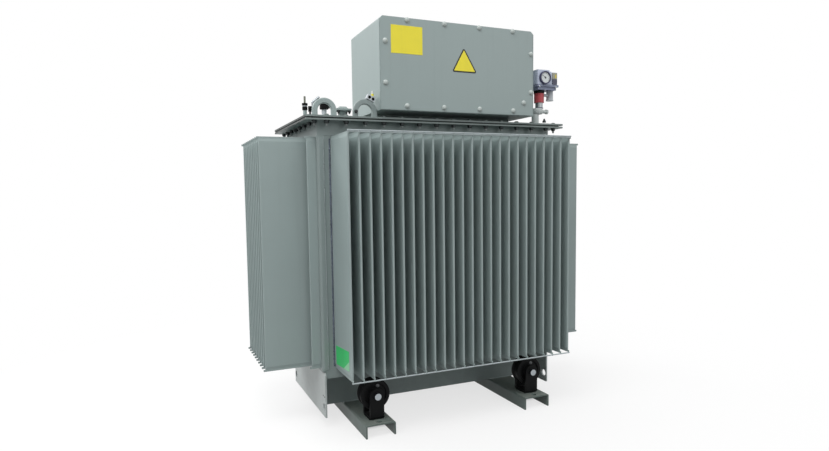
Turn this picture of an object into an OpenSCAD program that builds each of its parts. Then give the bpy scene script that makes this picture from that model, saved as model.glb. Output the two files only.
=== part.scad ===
/* [Skids and rollers] */
// Distance from a skid's centre line to the end of the tank
skid_inset = 206; // [120:320]
// Width of a skid channel over its flanges
skid_width = 140; // [100:200]
// Height of a skid channel
skid_height = 60; // [45:90]
// Thickness of the channel web and flanges
skid_thickness = 7; // [5:12]
// Outer radius of the channel's bends
skid_corner = 9; // [6:16]
// Length of a skid, front end to rear end
skid_length = 954; // [700:1200]
// Radius of the hole in the web at each end
skid_hole_radius = 12.5; // [6:20]
// Distance of that hole from the end of the skid
skid_hole_inset = 25; // [18:60]
// Diameter of a roller over its rims
wheel_diameter = 138; // [80:150]
// Width of a roller
wheel_width = 56; // [40:60]
// Depth of the running groove between the rims
wheel_groove_depth = 6; // [2:10]
// Width of each rim
wheel_rim_width = 13; // [8:16]
// Depth of the dished ring in each roller face
wheel_dish_depth = 6; // [2:10]
// Chamfer of the rims
wheel_chamfer = 3; // [1:5]
// Radius of the roller pin
pin_radius = 15; // [8:18]
// Running clearance round the pin
pin_clearance = 0.06; // [0.02:0.1]
// Length of pin beyond each fork plate
pin_overhang = 14; // [8:20]
// Width of a fork plate
fork_width = 66; // [56:90]
// Outer radius of the bends at a fork's foot
fork_bend = 16; // [8:24]
// Thickness of a fork plate and of its foot
fork_thickness = 12; // [6:16]
// Gap between the two plates of a fork
fork_gap = 72; // [64:90]
// Height of the pin above the skid web
pin_height = 108; // [80:140]
// Distance from the middle of the object to a roller
wheel_reach = 385; // [300:500]

/* [Tank] */
// Length of the tank along the long sides
tank_length = 1232; // [900:1600]
// Depth of the tank, front wall to rear wall
tank_depth = 586; // [400:800]
// Height of the lower edge of the tank
tank_bottom = 230; // [120:320]
// Height of the bottom tray that the walls stand on
tray_height = 40; // [20:44]
// Step of the tray behind the long walls
tray_step = 3; // [1:4]
// Thickness of the tank walls
wall_thickness = 5; // [3:10]
// Outer radius of the bent tank corners
tank_corner = 12; // [8:18]
// Width of the corner strip beside the recessed long panel
corner_width = 26; // [20:40]
// Thickness of the bottom plate
bottom_thickness = 8; // [5:14]
// Height of the upper edge of the tank walls
wall_top = 1318; // [900:1600]
// Height of the underside of the tank flange
flange_bottom = 1381; // [1340:1700]
// Thickness of the collar band
collar_thickness = 6; // [4:12]
// Step of the collar behind the tank wall
collar_step = 2; // [1:4]
// Outer radius of the collar's bends
collar_corner = 10; // [8:18]
// Thickness of the tank flange
flange_thickness = 7; // [5:14]
// Thickness of the lid gasket
gasket_thickness = 6; // [3:10]
// Step of the gasket behind the flange edge on the long sides
gasket_step = 5; // [2:12]
// Step of the gasket behind the flange edge on the short sides
gasket_side_step = 25; // [5:40]
// Thickness of the lid
lid_thickness = 8; // [5:14]
// Overhang of the lid past the short tank walls
lid_reach_side = 59; // [50:120]
// Overhang of the lid past the long tank walls
lid_reach_long = 39; // [30:80]
// Corner cut of lid and flange
lid_corner = 6; // [4:25]
// Step of the base and its end plates behind the short tank walls
base_inset = 16; // [8:40]
// Distance of the recessed base walls from the middle
base_reach = 152; // [100:280]
// Thickness of the base walls
base_thickness = 6; // [4:12]
// Thickness of the end plates
end_plate_thickness = 8; // [5:14]
// Lower edge of the end plates
end_plate_bottom = 52; // [20:120]
// Height of an end plate
end_plate_height = 210; // [190:222]
// Overhang of an end plate past the long tank walls
end_plate_reach = 3; // [1:12]
// Corner cut at the top of an end plate
end_plate_corner = 16; // [6:40]
// Radius of the hauling holes in the end plates
haul_radius = 17; // [8:18]
// Distance of a hauling hole from the plate's end
haul_inset = 22; // [21:80]
// Height of the hauling holes
haul_height = 95; // [80:160]

/* [Fins] */
// Distance from one fin to the next
fin_pitch = 48; // [40:60]
// Least distance from a long row's outer fins to the end of the tank
long_margin = 60; // [50:120]
// Least distance from a short row's outer fins to the long tank walls
side_margin = 28; // [20:80]
// Full thickness of a fin
fin_thickness = 9; // [6:14]
// Thickness of the crimped strip at the fin ends
crimp_thickness = 3; // [2:5]
// Height of the crimped strip
crimp_height = 9; // [5:14]
// Height of the slope between strip and full thickness
crimp_slope = 12; // [6:40]
// Reach of the crimped strip past the fin nose
crimp_reach = 8; // [4:14]
// Lower end of the fins
fin_bottom = 277; // [240:400]
// Upper end of the fins
fin_top = 1315; // [900:1600]
// Depth of a fin on the long sides, wall to nose
long_fin_depth = 241; // [120:320]
// Depth of a full fin on the short sides
side_fin_depth = 241; // [120:320]
// Depth of the short fin beside each corner
corner_fin_depth = 42; // [30:90]
// Radius of the bar across the ends of the long rows
bar_radius = 3; // [2:5]
// Length of bar beyond the first and last fin
bar_overrun = 5; // [2:15]
// Gap between round neighbours that are welded
seat_gap = 0.3; // [0.2:0.5]

/* [Cable box] */
// Distance from the left end of the lid to the cable box
box_left = 334; // [200:480]
// Distance from the right end of the lid to the cable box
box_right = 204; // [175:380]
// Overhang of the box body past the front edge of the lid
box_front = 23; // [0:160]
// Distance from the rear edge of the lid to the box
box_rear = 304; // [130:430]
// Gap between lid and box
box_raise = 29; // [10:60]
// Height of the box
box_height = 409; // [250:500]
// Sheet thickness of the box
box_sheet = 4; // [2:6]
// Width of the inward front flange
box_flange = 30; // [18:50]
// Thickness of the front cover
cover_thickness = 4; // [2:8]
// Step of the cover at the left and the top
cover_step = 2; // [1:8]
// Step of the cover at the right
cover_step_right = 8; // [1:14]
// Corner cut at the top of the cover
cover_corner = 15; // [6:30]
// Step of the neck behind the box sides
neck_step = 45; // [25:90]
// Step of the neck behind the front of the box
neck_front_step = 150; // [60:200]
// Wall thickness of the neck
neck_thickness = 8; // [4:14]

/* [Lid fittings] */
// Distance of a lifting lug from the end of the lid
lug_x = 95; // [60:275]
// Distance of a lifting lug from the long edge of the lid
lug_y = 42; // [17:180]
// Outer radius of a lifting lug
lug_radius = 55; // [35:80]
// Width of the lug's bar
lug_bar = 24; // [14:30]
// Rounding of the lug's edges
lug_round = 5; // [2:6]
// Height of the lug's arch centre over the lid
lug_rise = 24; // [15:60]
// Thickness of a lug
lug_thickness = 20; // [12:30]
// Gap between the low arch and the box
arch_gap = 2; // [1:40]
// Distance of the low arch from the front edge of the lid
arch_y = 22; // [12:130]
// Outer radius of the low arch
arch_radius = 56; // [40:60]
// Width of the low arch's bar
arch_bar = 23; // [10:26]
// Thickness of the low arch
arch_thickness = 18; // [10:24]
// Rounding of the low arch's edges
arch_round = 4; // [2:5]
// Height of the low arch's centre over the lid
arch_rise = 22; // [8:40]
// Width of the clamp block on the low arch
clamp_width = 40; // [34:50]
// Depth of the clamp block
clamp_depth = 22; // [12:30]
// Height of the clamp block
clamp_height = 22; // [16:26]
// Lean of the clamp block in degrees
clamp_lean = 25; // [0:45]
// Radius of the two holes through the clamp
clamp_hole_radius = 6; // [3:7]
// Distance between the two holes
clamp_hole_pitch = 18; // [15:24]
// Distance of the hatch from the left end of the lid
hatch_x = 198; // [155:245]
// Distance of the hatch from the front edge of the lid
hatch_y = 107; // [82:230]
// Width of the hatch cover
hatch_width = 68; // [40:90]
// Height of the hatch neck
hatch_neck = 34; // [10:50]
// Thickness of the hatch cover
hatch_cover = 8; // [5:16]
// Width of the hatch neck
hatch_neck_width = 30; // [20:38]
// Thickness of the raised pad on the hatch cover
hatch_pad = 11; // [4:16]
// Bevel of the hatch cover's pad
hatch_bevel = 8; // [3:14]
// Distance of the filler from the left end of the lid
filler_x = 22; // [15:30]
// Distance of the filler from the front edge of the lid
filler_y = 92; // [74:230]
// Radius of the filler's foot
filler_foot_radius = 8; // [6:10]
// Height of the filler's foot
filler_foot = 30; // [20:40]
// Radius of the filler's body
filler_radius = 11.5; // [10.5:13]
// Height of the filler's body
filler_height = 14; // [10:20]
// Radius of the waist under the filler's cap
filler_waist_radius = 9.5; // [7:10]
// Height of that waist
filler_waist = 6; // [3:10]
// Radius of the filler's cap
filler_cap_radius = 12.5; // [11:14]
// Height of the filler's cap
filler_cap_height = 9; // [6:20]
// Radius of the filler's rod
filler_rod_radius = 4; // [2:5]
// Height of the filler's rod
filler_rod_height = 30; // [15:60]
// Distance between filler and small plug
plug_offset = 23; // [23:40]
// Radius of the small plug
plug_radius = 8; // [6:9]
// Height of the small plug's stem
plug_stem = 24; // [10:30]
// Height of the small plug above its stem
plug_height = 23; // [15:30]
// Distance of the tap changer from the left end of the lid
tap_x = 135; // [115:175]
// Distance of the tap changer from the front edge of the lid
tap_y = 182; // [132:330]
// Radius of the tap changer's stem
tap_stem_radius = 11; // [7:14]
// Height of the tap changer's stem
tap_stem = 50; // [25:80]
// Radius of the tap changer's knob
tap_radius = 20; // [16:26]
// Height of the tap changer's knob
tap_height = 32; // [20:50]
// Chamfer of the knob's upper rim
tap_chamfer = 4; // [2:8]
// Reach of the knob's pointer from its axis
tap_pointer = 27; // [26:34]
// Distance from the tap changer to the lever's post
lever_offset = 54; // [35:80]
// Radius of the lever
lever_radius = 5; // [3:7]
// Height of the lever's post
lever_height = 80; // [50:120]
// Length of the lever's slanted arm
lever_arm = 40; // [30:90]
// Slant of the lever's arm in degrees
lever_slant = 51; // [20:60]

/* [Relay] */
// Distance of the relay's column from the right end of the lid
relay_x = 118; // [75:135]
// Distance of the relay's column from the front edge of the lid
relay_y = 47; // [42:180]
// Radius of the painted pipe
relay_pipe_radius = 18; // [12:24]
// Step of the painted pipe to the left of the column's axis
relay_pipe_step = 23; // [0:25]
// Height of the painted pipe
relay_pipe_height = 51; // [25:70]
// Radius of the domed nut
relay_nut_radius = 30; // [26:36]
// Height of the domed nut
relay_nut_height = 28; // [20:36]
// Radius of the side stub
relay_stub_radius = 9; // [5:12]
// Reach of the side stub from the column's axis
relay_stub_reach = 52; // [42:80]
// Radius of the hexagon at the stub's end
relay_stub_hexagon = 12; // [9:13]
// Length of that hexagon
relay_stub_end = 12; // [6:18]
// Radius of the grey upper pipe
relay_upper_radius = 19; // [12:22]
// Height of the grey upper pipe
relay_upper_height = 29; // [15:40]
// Radius of the red sleeve
relay_sleeve_radius = 25; // [18:30]
// Height of the red sleeve
relay_sleeve_height = 47; // [30:70]
// Radius of the black ring
relay_ring_radius = 27; // [20:32]
// Height of the black ring
relay_ring_height = 14; // [8:25]
// Left side of the relay from the column's axis
relay_left = 42; // [34:50]
// Width of the relay's body
relay_width = 119; // [105:150]
// Front of the relay from the column's axis
relay_front = 45; // [35:60]
// Depth of the relay's body
relay_depth = 74; // [60:120]
// Height of the relay's base
relay_base_height = 26; // [20:50]
// Thickness of the base's upper flange
relay_flange = 11; // [6:16]
// Step of the base's lower part behind the flange
relay_flange_step = 7; // [3:12]
// Reach of the base past the body at the right
relay_base_reach = 10; // [4:20]
// Height of the relay's body
relay_body_height = 71; // [64:100]
// Drop of the shoulder at the right of the body
relay_shoulder = 10; // [4:12]
// Width of that shoulder
relay_shoulder_width = 46; // [34:50]
// Radius of the knob on the shoulder
relay_knob_radius = 13; // [8:14]
// Height of that knob
relay_knob_height = 9; // [4:14]
// Radius of the dial's case
dial_radius = 32; // [24:34]
// Depth of the dial's case
dial_depth = 12; // [8:20]
// Distance of the dial's axis from the body's left side
dial_offset = 42; // [34:44]
// Depth of the recess in the dial's case
dial_recess = 5; // [2:7]
// Width of the rim round that recess
dial_rim = 5; // [3:8]
// Distance of the dial's axis below the middle of the body
dial_drop = 4; // [0:8]
// Width of the sight window
window_width = 28; // [10:30]
// Height of the sight window
window_height = 56; // [20:58]
// Depth of the sight window
window_depth = 4; // [2:8]
// Step of the window from the body's right side
window_step = 2; // [1:10]
// Height of the window's lower edge over the body's foot
window_lift = 2; // [1:4]
// Radius of the hanging plug
gland_radius = 17; // [14:22]
// Radius of the rim at the plug's lower end
gland_rim_radius = 18.5; // [17:24]
// Height of that rim
gland_rim = 5; // [3:10]
// Radius of the plug's side branch
gland_branch_radius = 7; // [4:9]
// Height of that branch over the plug's lower end
gland_branch = 27; // [16:36]
// Height of the hanging plug
gland_height = 48; // [25:70]
// Distance of the hanging plug from the column's axis
gland_offset = 66; // [50:80]

/* [Hidden] */
$fn = 48;
cut_overrun = skid_thickness;
half_length = tank_length / 2;
half_depth = tank_depth / 2;
half_gauge = half_length - skid_inset;
base_half = half_length - base_inset;
panel_half = half_length - corner_width;
panel_share = 0.8;
panel_face = half_depth - wall_thickness * panel_share;
bend_inner_share = 0.25;
wall_bottom = tank_bottom + tray_height;
lid_length = tank_length + 2 * lid_reach_side;
lid_depth = tank_depth + 2 * lid_reach_long;
lid_end = lid_length / 2;
lid_edge = lid_depth / 2;
long_count = floor((tank_length - 2 * long_margin) / fin_pitch) + 1;
short_count = floor((tank_depth - 2 * side_margin) / fin_pitch) - 1;
box_x0 = box_left - lid_end;
box_x1 = lid_end - box_right;
box_y0 = -lid_edge - box_front;
box_y1 = lid_edge - box_rear;
lug_at = [lug_x - lid_end, lug_y - lid_edge];
arch_at = [box_x0 - arch_gap - arch_radius, arch_y - lid_edge];
hatch_at = [hatch_x - lid_end, hatch_y - lid_edge];
filler_at = [filler_x - lid_end, filler_y - lid_edge];
tap_at = [tap_x - lid_end, tap_y - lid_edge];
relay_at = [lid_end - relay_x, relay_y - lid_edge];
wheel_radius = wheel_diameter / 2;
pin_z = skid_height + pin_height;
fork_half = fork_gap / 2 + fork_thickness;
gasket_bottom = flange_bottom + flange_thickness;
lid_bottom = gasket_bottom + gasket_thickness;
lid_top = lid_bottom + lid_thickness;
collar_half_length = half_length - collar_step;
collar_half_depth = half_depth - collar_step;
box_bottom = lid_top + box_raise;
box_top = box_bottom + box_height;
hub_share = 0.4;
dish_outer_share = 0.76;
end_plate_depth = tank_depth + 2 * end_plate_reach;
end_plate_top = end_plate_bottom + end_plate_height;
relay_nut_bottom = lid_top + relay_pipe_height;
relay_upper_bottom = relay_nut_bottom + relay_nut_height;
relay_sleeve_bottom = relay_upper_bottom + relay_upper_height;
relay_ring_bottom = relay_sleeve_bottom + relay_sleeve_height;
relay_base_bottom = relay_ring_bottom + relay_ring_height;
relay_body_bottom = relay_base_bottom + relay_base_height;
relay_left_x = relay_at[0] - relay_left;
relay_front_y = relay_at[1] - relay_front;
paint = [0.55, 0.60, 0.60];
pale_paint = [0.63, 0.66, 0.66];
black = [0.06, 0.06, 0.065];
steel = [0.72, 0.73, 0.74];
relay_grey = [0.42, 0.46, 0.56];

// Box given by its lower and upper corners
module block(low, high) {
    translate(low)
        cube(high - low);
}

// Rectangle about the origin with cut corners
module cut_rectangle(length, depth, corner) {
    x = length / 2;
    y = depth / 2;
    polygon([
        [-x + corner, -y], [x - corner, -y], [x, -y + corner], [x, y - corner],
        [x - corner, y], [-x + corner, y], [-x, y - corner], [-x, -y + corner]
    ]);
}

// Rectangle about the origin with round corners
module round_rectangle(length, depth, radius) {
    x = length / 2 - radius;
    y = depth / 2 - radius;
    union() {
        square([length, 2 * y], center = true);
        square([2 * x, depth], center = true);
        for (i = [-x, x], j = [-y, y])
            translate([i, j])
                circle(r = radius);
    }
}

// Upright rectangle on y = 0 with round upper corners
module round_top(width, height, radius) {
    x = width / 2 - radius;
    union() {
        translate([-width / 2, 0])
            square([width, height - radius]);
        translate([-x, 0])
            square([2 * x, height]);
        for (i = [-x, x])
            translate([i, height - radius])
                circle(r = radius);
    }
}

// Inverted channel along Y with bent corners, centred on the origin
module channel() {
    reach = skid_length / 2 - skid_hole_inset;
    inner = skid_width - 2 * skid_thickness;
    web = skid_height - skid_thickness;
    difference() {
        translate([0, skid_length / 2, 0])
            rotate([90, 0, 0])
                linear_extrude(skid_length)
                    difference() {
                        round_top(skid_width, skid_height, skid_corner);
                        translate([0, -cut_overrun])
                            round_top(inner, web + cut_overrun, skid_corner * bend_inner_share);
                    }
        for (y = [-reach, reach])
            translate([0, y, web - cut_overrun])
                cylinder(r = skid_hole_radius, h = skid_thickness + 2 * cut_overrun);
    }
}

module skid_left() {
    color(pale_paint)
        translate([-half_gauge, 0, 0])
            channel();
}

module skid_right() {
    color(pale_paint)
        translate([half_gauge, 0, 0])
            channel();
}

// Upright U across the roller, bent at its foot and centred on the origin
module fork_strip() {
    height = pin_height + fork_width / 2;
    inner = height - fork_thickness;
    translate([0, height])
        mirror([0, 1])
            difference() {
                round_top(2 * fork_half, height, fork_bend);
                translate([0, -cut_overrun])
                    round_top(fork_gap, inner + cut_overrun, fork_bend * bend_inner_share);
            }
}

// Fork with round plate tops and its foot on the ground plane
module fork() {
    difference() {
        intersection() {
            translate([-fork_width / 2, 0, 0])
                rotate([90, 0, 90])
                    linear_extrude(fork_width)
                        fork_strip();
            translate([0, fork_half, 0])
                rotate([90, 0, 0])
                    linear_extrude(2 * fork_half)
                        round_top(fork_width, pin_height + fork_width / 2, fork_width / 2);
        }
        translate([0, fork_half + cut_overrun, pin_height])
            rotate([90, 0, 0])
                cylinder(r = pin_radius + seat_gap, h = 2 * (fork_half + cut_overrun));
    }
}

module roller_forks() {
    color(black)
        for (x = [-half_gauge, half_gauge], y = [-wheel_reach, wheel_reach])
            translate([x, y, skid_height])
                fork();
}

module roller_pins() {
    length = 2 * (fork_half + pin_overhang);
    color(steel)
        for (x = [-half_gauge, half_gauge], y = [-wheel_reach, wheel_reach])
            translate([x, y + length / 2, pin_z])
                rotate([90, 0, 0])
                    cylinder(r = pin_radius, h = length);
}

// Half section of a roller: bore, hub, dished face, rims and running groove
module wheel_section() {
    half = wheel_width / 2;
    bore = pin_radius + pin_clearance;
    hub = wheel_radius * hub_share;
    dish = wheel_radius * dish_outer_share;
    groove = half - wheel_rim_width;
    face = half - wheel_dish_depth;
    edge = half - wheel_chamfer;
    tread = wheel_radius - wheel_groove_depth;
    polygon([
        [bore, -half], [hub, -half], [hub + wheel_chamfer, -face], [dish - wheel_chamfer, -face],
        [dish, -half], [wheel_radius - wheel_chamfer, -half], [wheel_radius, -edge],
        [wheel_radius, -groove - wheel_chamfer], [tread, -groove], [tread, groove],
        [wheel_radius, groove + wheel_chamfer], [wheel_radius, edge], [wheel_radius - wheel_chamfer, half],
        [dish, half], [dish - wheel_chamfer, face], [hub + wheel_chamfer, face], [hub, half], [bore, half]
    ]);
}

// Roller on a pin at the given place
module wheel_at(x, y) {
    color(black)
        translate([x, y, pin_z])
            rotate([90, 0, 0])
                rotate_extrude()
                    wheel_section();
}

module wheel_front_left() {
    wheel_at(-half_gauge, -wheel_reach);
}

module wheel_front_right() {
    wheel_at(half_gauge, -wheel_reach);
}

module wheel_rear_left() {
    wheel_at(-half_gauge, wheel_reach);
}

module wheel_rear_right() {
    wheel_at(half_gauge, wheel_reach);
}

// Recessed wall between the skids and the tank bottom
module base_front_wall() {
    color(paint)
        block([-base_half, -base_reach, skid_height],
            [base_half, -base_reach + base_thickness, tank_bottom]);
}

module base_rear_wall() {
    color(paint)
        block([-base_half, base_reach - base_thickness, skid_height],
            [base_half, base_reach, tank_bottom]);
}

// End plate on the side of the base, outward along +X
module end_plate() {
    y = end_plate_depth / 2;
    hole_y = y - haul_inset;
    difference() {
        translate([base_half, 0, 0])
            rotate([90, 0, 90])
                linear_extrude(end_plate_thickness)
                    polygon([
                        [-y, end_plate_bottom], [y, end_plate_bottom], [y, end_plate_top - end_plate_corner],
                        [y - end_plate_corner, end_plate_top], [-y + end_plate_corner, end_plate_top],
                        [-y, end_plate_top - end_plate_corner]
                    ]);
        for (hole = [-hole_y, hole_y])
            translate([base_half - cut_overrun, hole, haul_height])
                rotate([0, 90, 0])
                    cylinder(r = haul_radius, h = end_plate_thickness + 2 * cut_overrun);
    }
}

module end_plate_left() {
    color(pale_paint)
        mirror([1, 0, 0])
            end_plate();
}

module end_plate_right() {
    color(pale_paint)
        end_plate();
}

// Bottom tray with an upright rim and a lip that the walls stand on
module tank_bottom_plate() {
    y = half_depth - tray_step;
    inner_x = base_half - base_thickness;
    inner_y = y - base_thickness;
    color(paint)
        difference() {
            union() {
                block([-base_half, -y, tank_bottom], [base_half, y, wall_bottom]);
                block([-half_length, -y, wall_bottom - bottom_thickness], [half_length, y, wall_bottom]);
            }
            block(
                [-inner_x, -inner_y, tank_bottom + bottom_thickness],
                [inner_x, inner_y, wall_bottom + cut_overrun]
            );
            if (end_plate_top > wall_bottom - bottom_thickness)
                for (x = [-base_half - end_plate_thickness, base_half])
                    block(
                        [x, -tank_depth, tank_bottom],
                        [x + end_plate_thickness, tank_depth, end_plate_top]
                    );
        }
}

// Plan of the long wall: bent corner strips and the recessed panel between them
module long_plan() {
    inner = tank_corner - wall_thickness;
    rear = panel_face - wall_thickness;
    lap = panel_half + wall_thickness;
    union() {
        difference() {
            round_rectangle(tank_length, tank_depth, tank_corner);
            round_rectangle(tank_length - 2 * wall_thickness, tank_depth - 2 * wall_thickness, inner);
            translate([-panel_half, -tank_depth])
                square([2 * panel_half, tank_depth]);
        }
        translate([-lap, -panel_face])
            square([2 * lap, panel_face - rear]);
    }
}

// Long wall on the -Y side
module long_wall() {
    intersection() {
        translate([0, 0, wall_bottom])
            linear_extrude(wall_top - wall_bottom)
                long_plan();
        block([-tank_length, -tank_depth, 0], [tank_length, -half_depth + tank_corner, flange_bottom]);
    }
}

module tank_front_wall() {
    color(paint)
        long_wall();
}

module tank_rear_wall() {
    color(paint)
        mirror([0, 1, 0])
            long_wall();
}

// Side wall on the +X side, between the bends of the long walls
module side_wall() {
    y = half_depth - tank_corner;
    block([half_length - wall_thickness, -y, wall_bottom], [half_length, y, wall_top]);
}

module tank_left_wall() {
    color(paint)
        mirror([1, 0, 0])
            side_wall();
}

module tank_right_wall() {
    color(paint)
        side_wall();
}

module tank_collar() {
    length = 2 * collar_half_length;
    depth = 2 * collar_half_depth;
    inner_length = length - 2 * collar_thickness;
    inner_depth = depth - 2 * collar_thickness;
    inner_corner = max(collar_corner - collar_thickness, seat_gap);
    color(paint)
        translate([0, 0, wall_top])
            linear_extrude(flange_bottom - wall_top)
                difference() {
                    round_rectangle(length, depth, collar_corner);
                    round_rectangle(inner_length, inner_depth, inner_corner);
                }
}

// Outline of a fin seen end-on: crimped strips, slopes and the full body
module fin_outline() {
    body = fin_thickness / 2;
    strip = crimp_thickness / 2;
    low = fin_bottom + crimp_height;
    high = fin_top - crimp_height;
    polygon([
        [-strip, fin_bottom], [strip, fin_bottom], [strip, low], [body, low + crimp_slope],
        [body, high - crimp_slope], [strip, high], [strip, fin_top], [-strip, fin_top],
        [-strip, high], [-body, high - crimp_slope], [-body, low + crimp_slope], [-strip, low]
    ]);
}

// One fin in the plane x = 0, growing towards -Y from y = 0, with a round nose and long crimped ends
module fin(depth) {
    radius = fin_thickness / 2;
    strip = crimp_thickness / 2;
    union() {
        intersection() {
            rotate([90, 0, 0])
                linear_extrude(depth)
                    fin_outline();
            translate([0, 0, fin_bottom])
                linear_extrude(fin_top - fin_bottom)
                    union() {
                        translate([-radius, radius - depth])
                            square([fin_thickness, depth - radius]);
                        translate([0, radius - depth])
                            circle(r = radius);
                    }
        }
        for (z = [fin_bottom, fin_top - crimp_height])
            block([-strip, -depth - crimp_reach, z], [strip, 0, z + crimp_height]);
    }
}

// Row of fins on the front, standing on the tank wall
module long_bank() {
    first = -(long_count - 1) * fin_pitch / 2;
    for (i = [0 : long_count - 1])
        translate([first + i * fin_pitch, -panel_face, 0])
            fin(long_fin_depth);
}

// Row of fins on the right side, with a short fin at each end
module side_bank() {
    first = -(short_count - 1) * fin_pitch / 2;
    for (i = [-1 : short_count])
        translate([half_length, first + i * fin_pitch, 0])
            rotate([0, 0, 90])
                fin(i < 0 || i == short_count ? corner_fin_depth : side_fin_depth);
}

module front_fins() {
    color(paint)
        long_bank();
}

module rear_fins() {
    color(paint)
        mirror([0, 1, 0])
            long_bank();
}

module left_fins() {
    color(paint)
        mirror([1, 0, 0])
            side_bank();
}

module right_fins() {
    color(paint)
        side_bank();
}

// Welded bars of the long rows: just under the lower strips and just over the upper ones
module fin_bars() {
    length = (long_count - 1) * fin_pitch + 2 * bar_overrun;
    reach = panel_face + long_fin_depth + crimp_reach - bar_radius;
    drop = bar_radius + seat_gap;
    color(pale_paint)
        for (z = [fin_bottom - drop, fin_top + drop], y = [-reach, reach])
            translate([-length / 2, y, z])
                rotate([0, 90, 0])
                    cylinder(r = bar_radius, h = length);
}

module tank_flange() {
    inner_length = 2 * (collar_half_length - collar_thickness);
    inner_depth = 2 * (collar_half_depth - collar_thickness);
    color(paint)
        translate([0, 0, flange_bottom])
            linear_extrude(flange_thickness)
                difference() {
                    cut_rectangle(lid_length, lid_depth, lid_corner);
                    square([inner_length, inner_depth], center = true);
                }
}

module lid_gasket() {
    inner_length = 2 * (collar_half_length - collar_thickness);
    inner_depth = 2 * (collar_half_depth - collar_thickness);
    color(black)
        translate([0, 0, gasket_bottom])
            linear_extrude(gasket_thickness)
                difference() {
                    cut_rectangle(lid_length - 2 * gasket_side_step, lid_depth - 2 * gasket_step, lid_corner);
                    square([inner_length, inner_depth], center = true);
                }
}

module lid() {
    color(paint)
        translate([0, 0, lid_bottom])
            linear_extrude(lid_thickness)
                cut_rectangle(lid_length, lid_depth, lid_corner);
}

// Rectangular neck between the lid and the box
module cable_box_neck() {
    low = [box_x0 + neck_step, box_y0 + neck_front_step, lid_top];
    high = [box_x1 - neck_step, box_y1 - neck_step, box_bottom];
    wall = [neck_thickness, neck_thickness, -cut_overrun];
    color(paint)
        difference() {
            block(low, high);
            block(low + wall, high - wall);
        }
}

// Front view of the box with cut upper corners, drawn in by a step
module box_outline(step) {
    x0 = box_x0 + step;
    x1 = box_x1 - step;
    z0 = box_bottom + step;
    z1 = box_top - step;
    polygon([
        [x0, z0], [x1, z0], [x1, z1 - cover_corner], [x1 - cover_corner, z1],
        [x0 + cover_corner, z1], [x0, z1 - cover_corner]
    ]);
}

// Sheet body with bevelled upper edges, open at the front inside an inward flange
module cable_box_body() {
    s = box_sheet;
    f = box_flange;
    color(paint)
        difference() {
            translate([0, box_y1, 0])
                rotate([90, 0, 0])
                    linear_extrude(box_y1 - box_y0)
                        box_outline(0);
            translate([0, box_y1 - s, 0])
                rotate([90, 0, 0])
                    linear_extrude(box_y1 - box_y0 - 2 * s)
                        box_outline(s);
            block(
                [box_x0 + f, box_y0 - cut_overrun, box_bottom + f],
                [box_x1 - f, box_y0 + s + cut_overrun, box_top - f]
            );
        }
}

module cable_box_cover() {
    x0 = box_x0 + cover_step;
    x1 = box_x1 - cover_step_right;
    z0 = box_bottom + cover_step;
    z1 = box_top - cover_step;
    color(paint)
        translate([0, box_y0, 0])
            rotate([90, 0, 0])
                linear_extrude(cover_thickness)
                    polygon([
                        [x0, z0], [x1, z0], [x1, z1 - cover_corner], [x1 - cover_corner, z1],
                        [x0 + cover_corner, z1], [x0, z1 - cover_corner]
                    ]);
}

// Upright bent bar: half a ring on straight legs with feet at z = 0; its section is the child
module bent_bar(radius, rise) {
    union() {
        translate([0, 0, rise])
            rotate([90, 0, 0])
                rotate_extrude(angle = 180)
                    translate([radius, 0])
                        children();
        for (x = [-radius, radius])
            translate([x, 0, 0])
                linear_extrude(rise)
                    children();
    }
}

module lifting_lugs() {
    color(pale_paint)
        for (turn = [0, 180])
            rotate([0, 0, turn])
                translate([lug_at[0], lug_at[1], lid_top])
                    bent_bar(lug_radius - lug_bar / 2, lug_rise)
                        round_rectangle(lug_bar, lug_thickness, lug_round);
}

module low_arch() {
    color(pale_paint)
        translate([arch_at[0], arch_at[1], lid_top])
            bent_bar(arch_radius - arch_bar / 2, arch_rise)
                round_rectangle(arch_bar, arch_thickness, arch_round);
}

// Block with two holes, leaning on the outside of the low arch
module arch_clamp() {
    x = clamp_width / 2;
    y = clamp_depth / 2;
    color(pale_paint)
        translate([arch_at[0], arch_at[1], lid_top + arch_rise])
            rotate([0, clamp_lean, 0])
                translate([0, 0, arch_radius + seat_gap])
                    difference() {
                        block([-x, -y, 0], [x, y, clamp_height]);
                        for (side = [-1, 1])
                            translate([side * clamp_hole_pitch / 2, y + cut_overrun, clamp_height / 2])
                                rotate([90, 0, 0])
                                    cylinder(r = clamp_hole_radius, h = clamp_depth + 2 * cut_overrun);
                    }
}

// Side view of the hatch's pad: a low trapezium on y = 0
module hatch_slope(half) {
    polygon([[-half, 0], [half, 0], [half - hatch_bevel, hatch_pad], [-half + hatch_bevel, hatch_pad]]);
}

module hatch() {
    half = hatch_width / 2;
    neck = hatch_neck_width / 2;
    pad = half - hatch_pad;
    cover_z = lid_top + hatch_neck;
    pad_z = cover_z + hatch_cover;
    color(pale_paint)
        translate([hatch_at[0], hatch_at[1], 0])
            union() {
                block([-neck, -neck, lid_top], [neck, neck, cover_z]);
                block([-half, -half, cover_z], [half, half, pad_z]);
                translate([0, 0, pad_z])
                    intersection() {
                        translate([0, half, 0])
                            rotate([90, 0, 0])
                                linear_extrude(hatch_width)
                                    hatch_slope(pad);
                        translate([-half, 0, 0])
                            rotate([90, 0, 90])
                                linear_extrude(hatch_width)
                                    hatch_slope(pad);
                    }
            }
}

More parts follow.
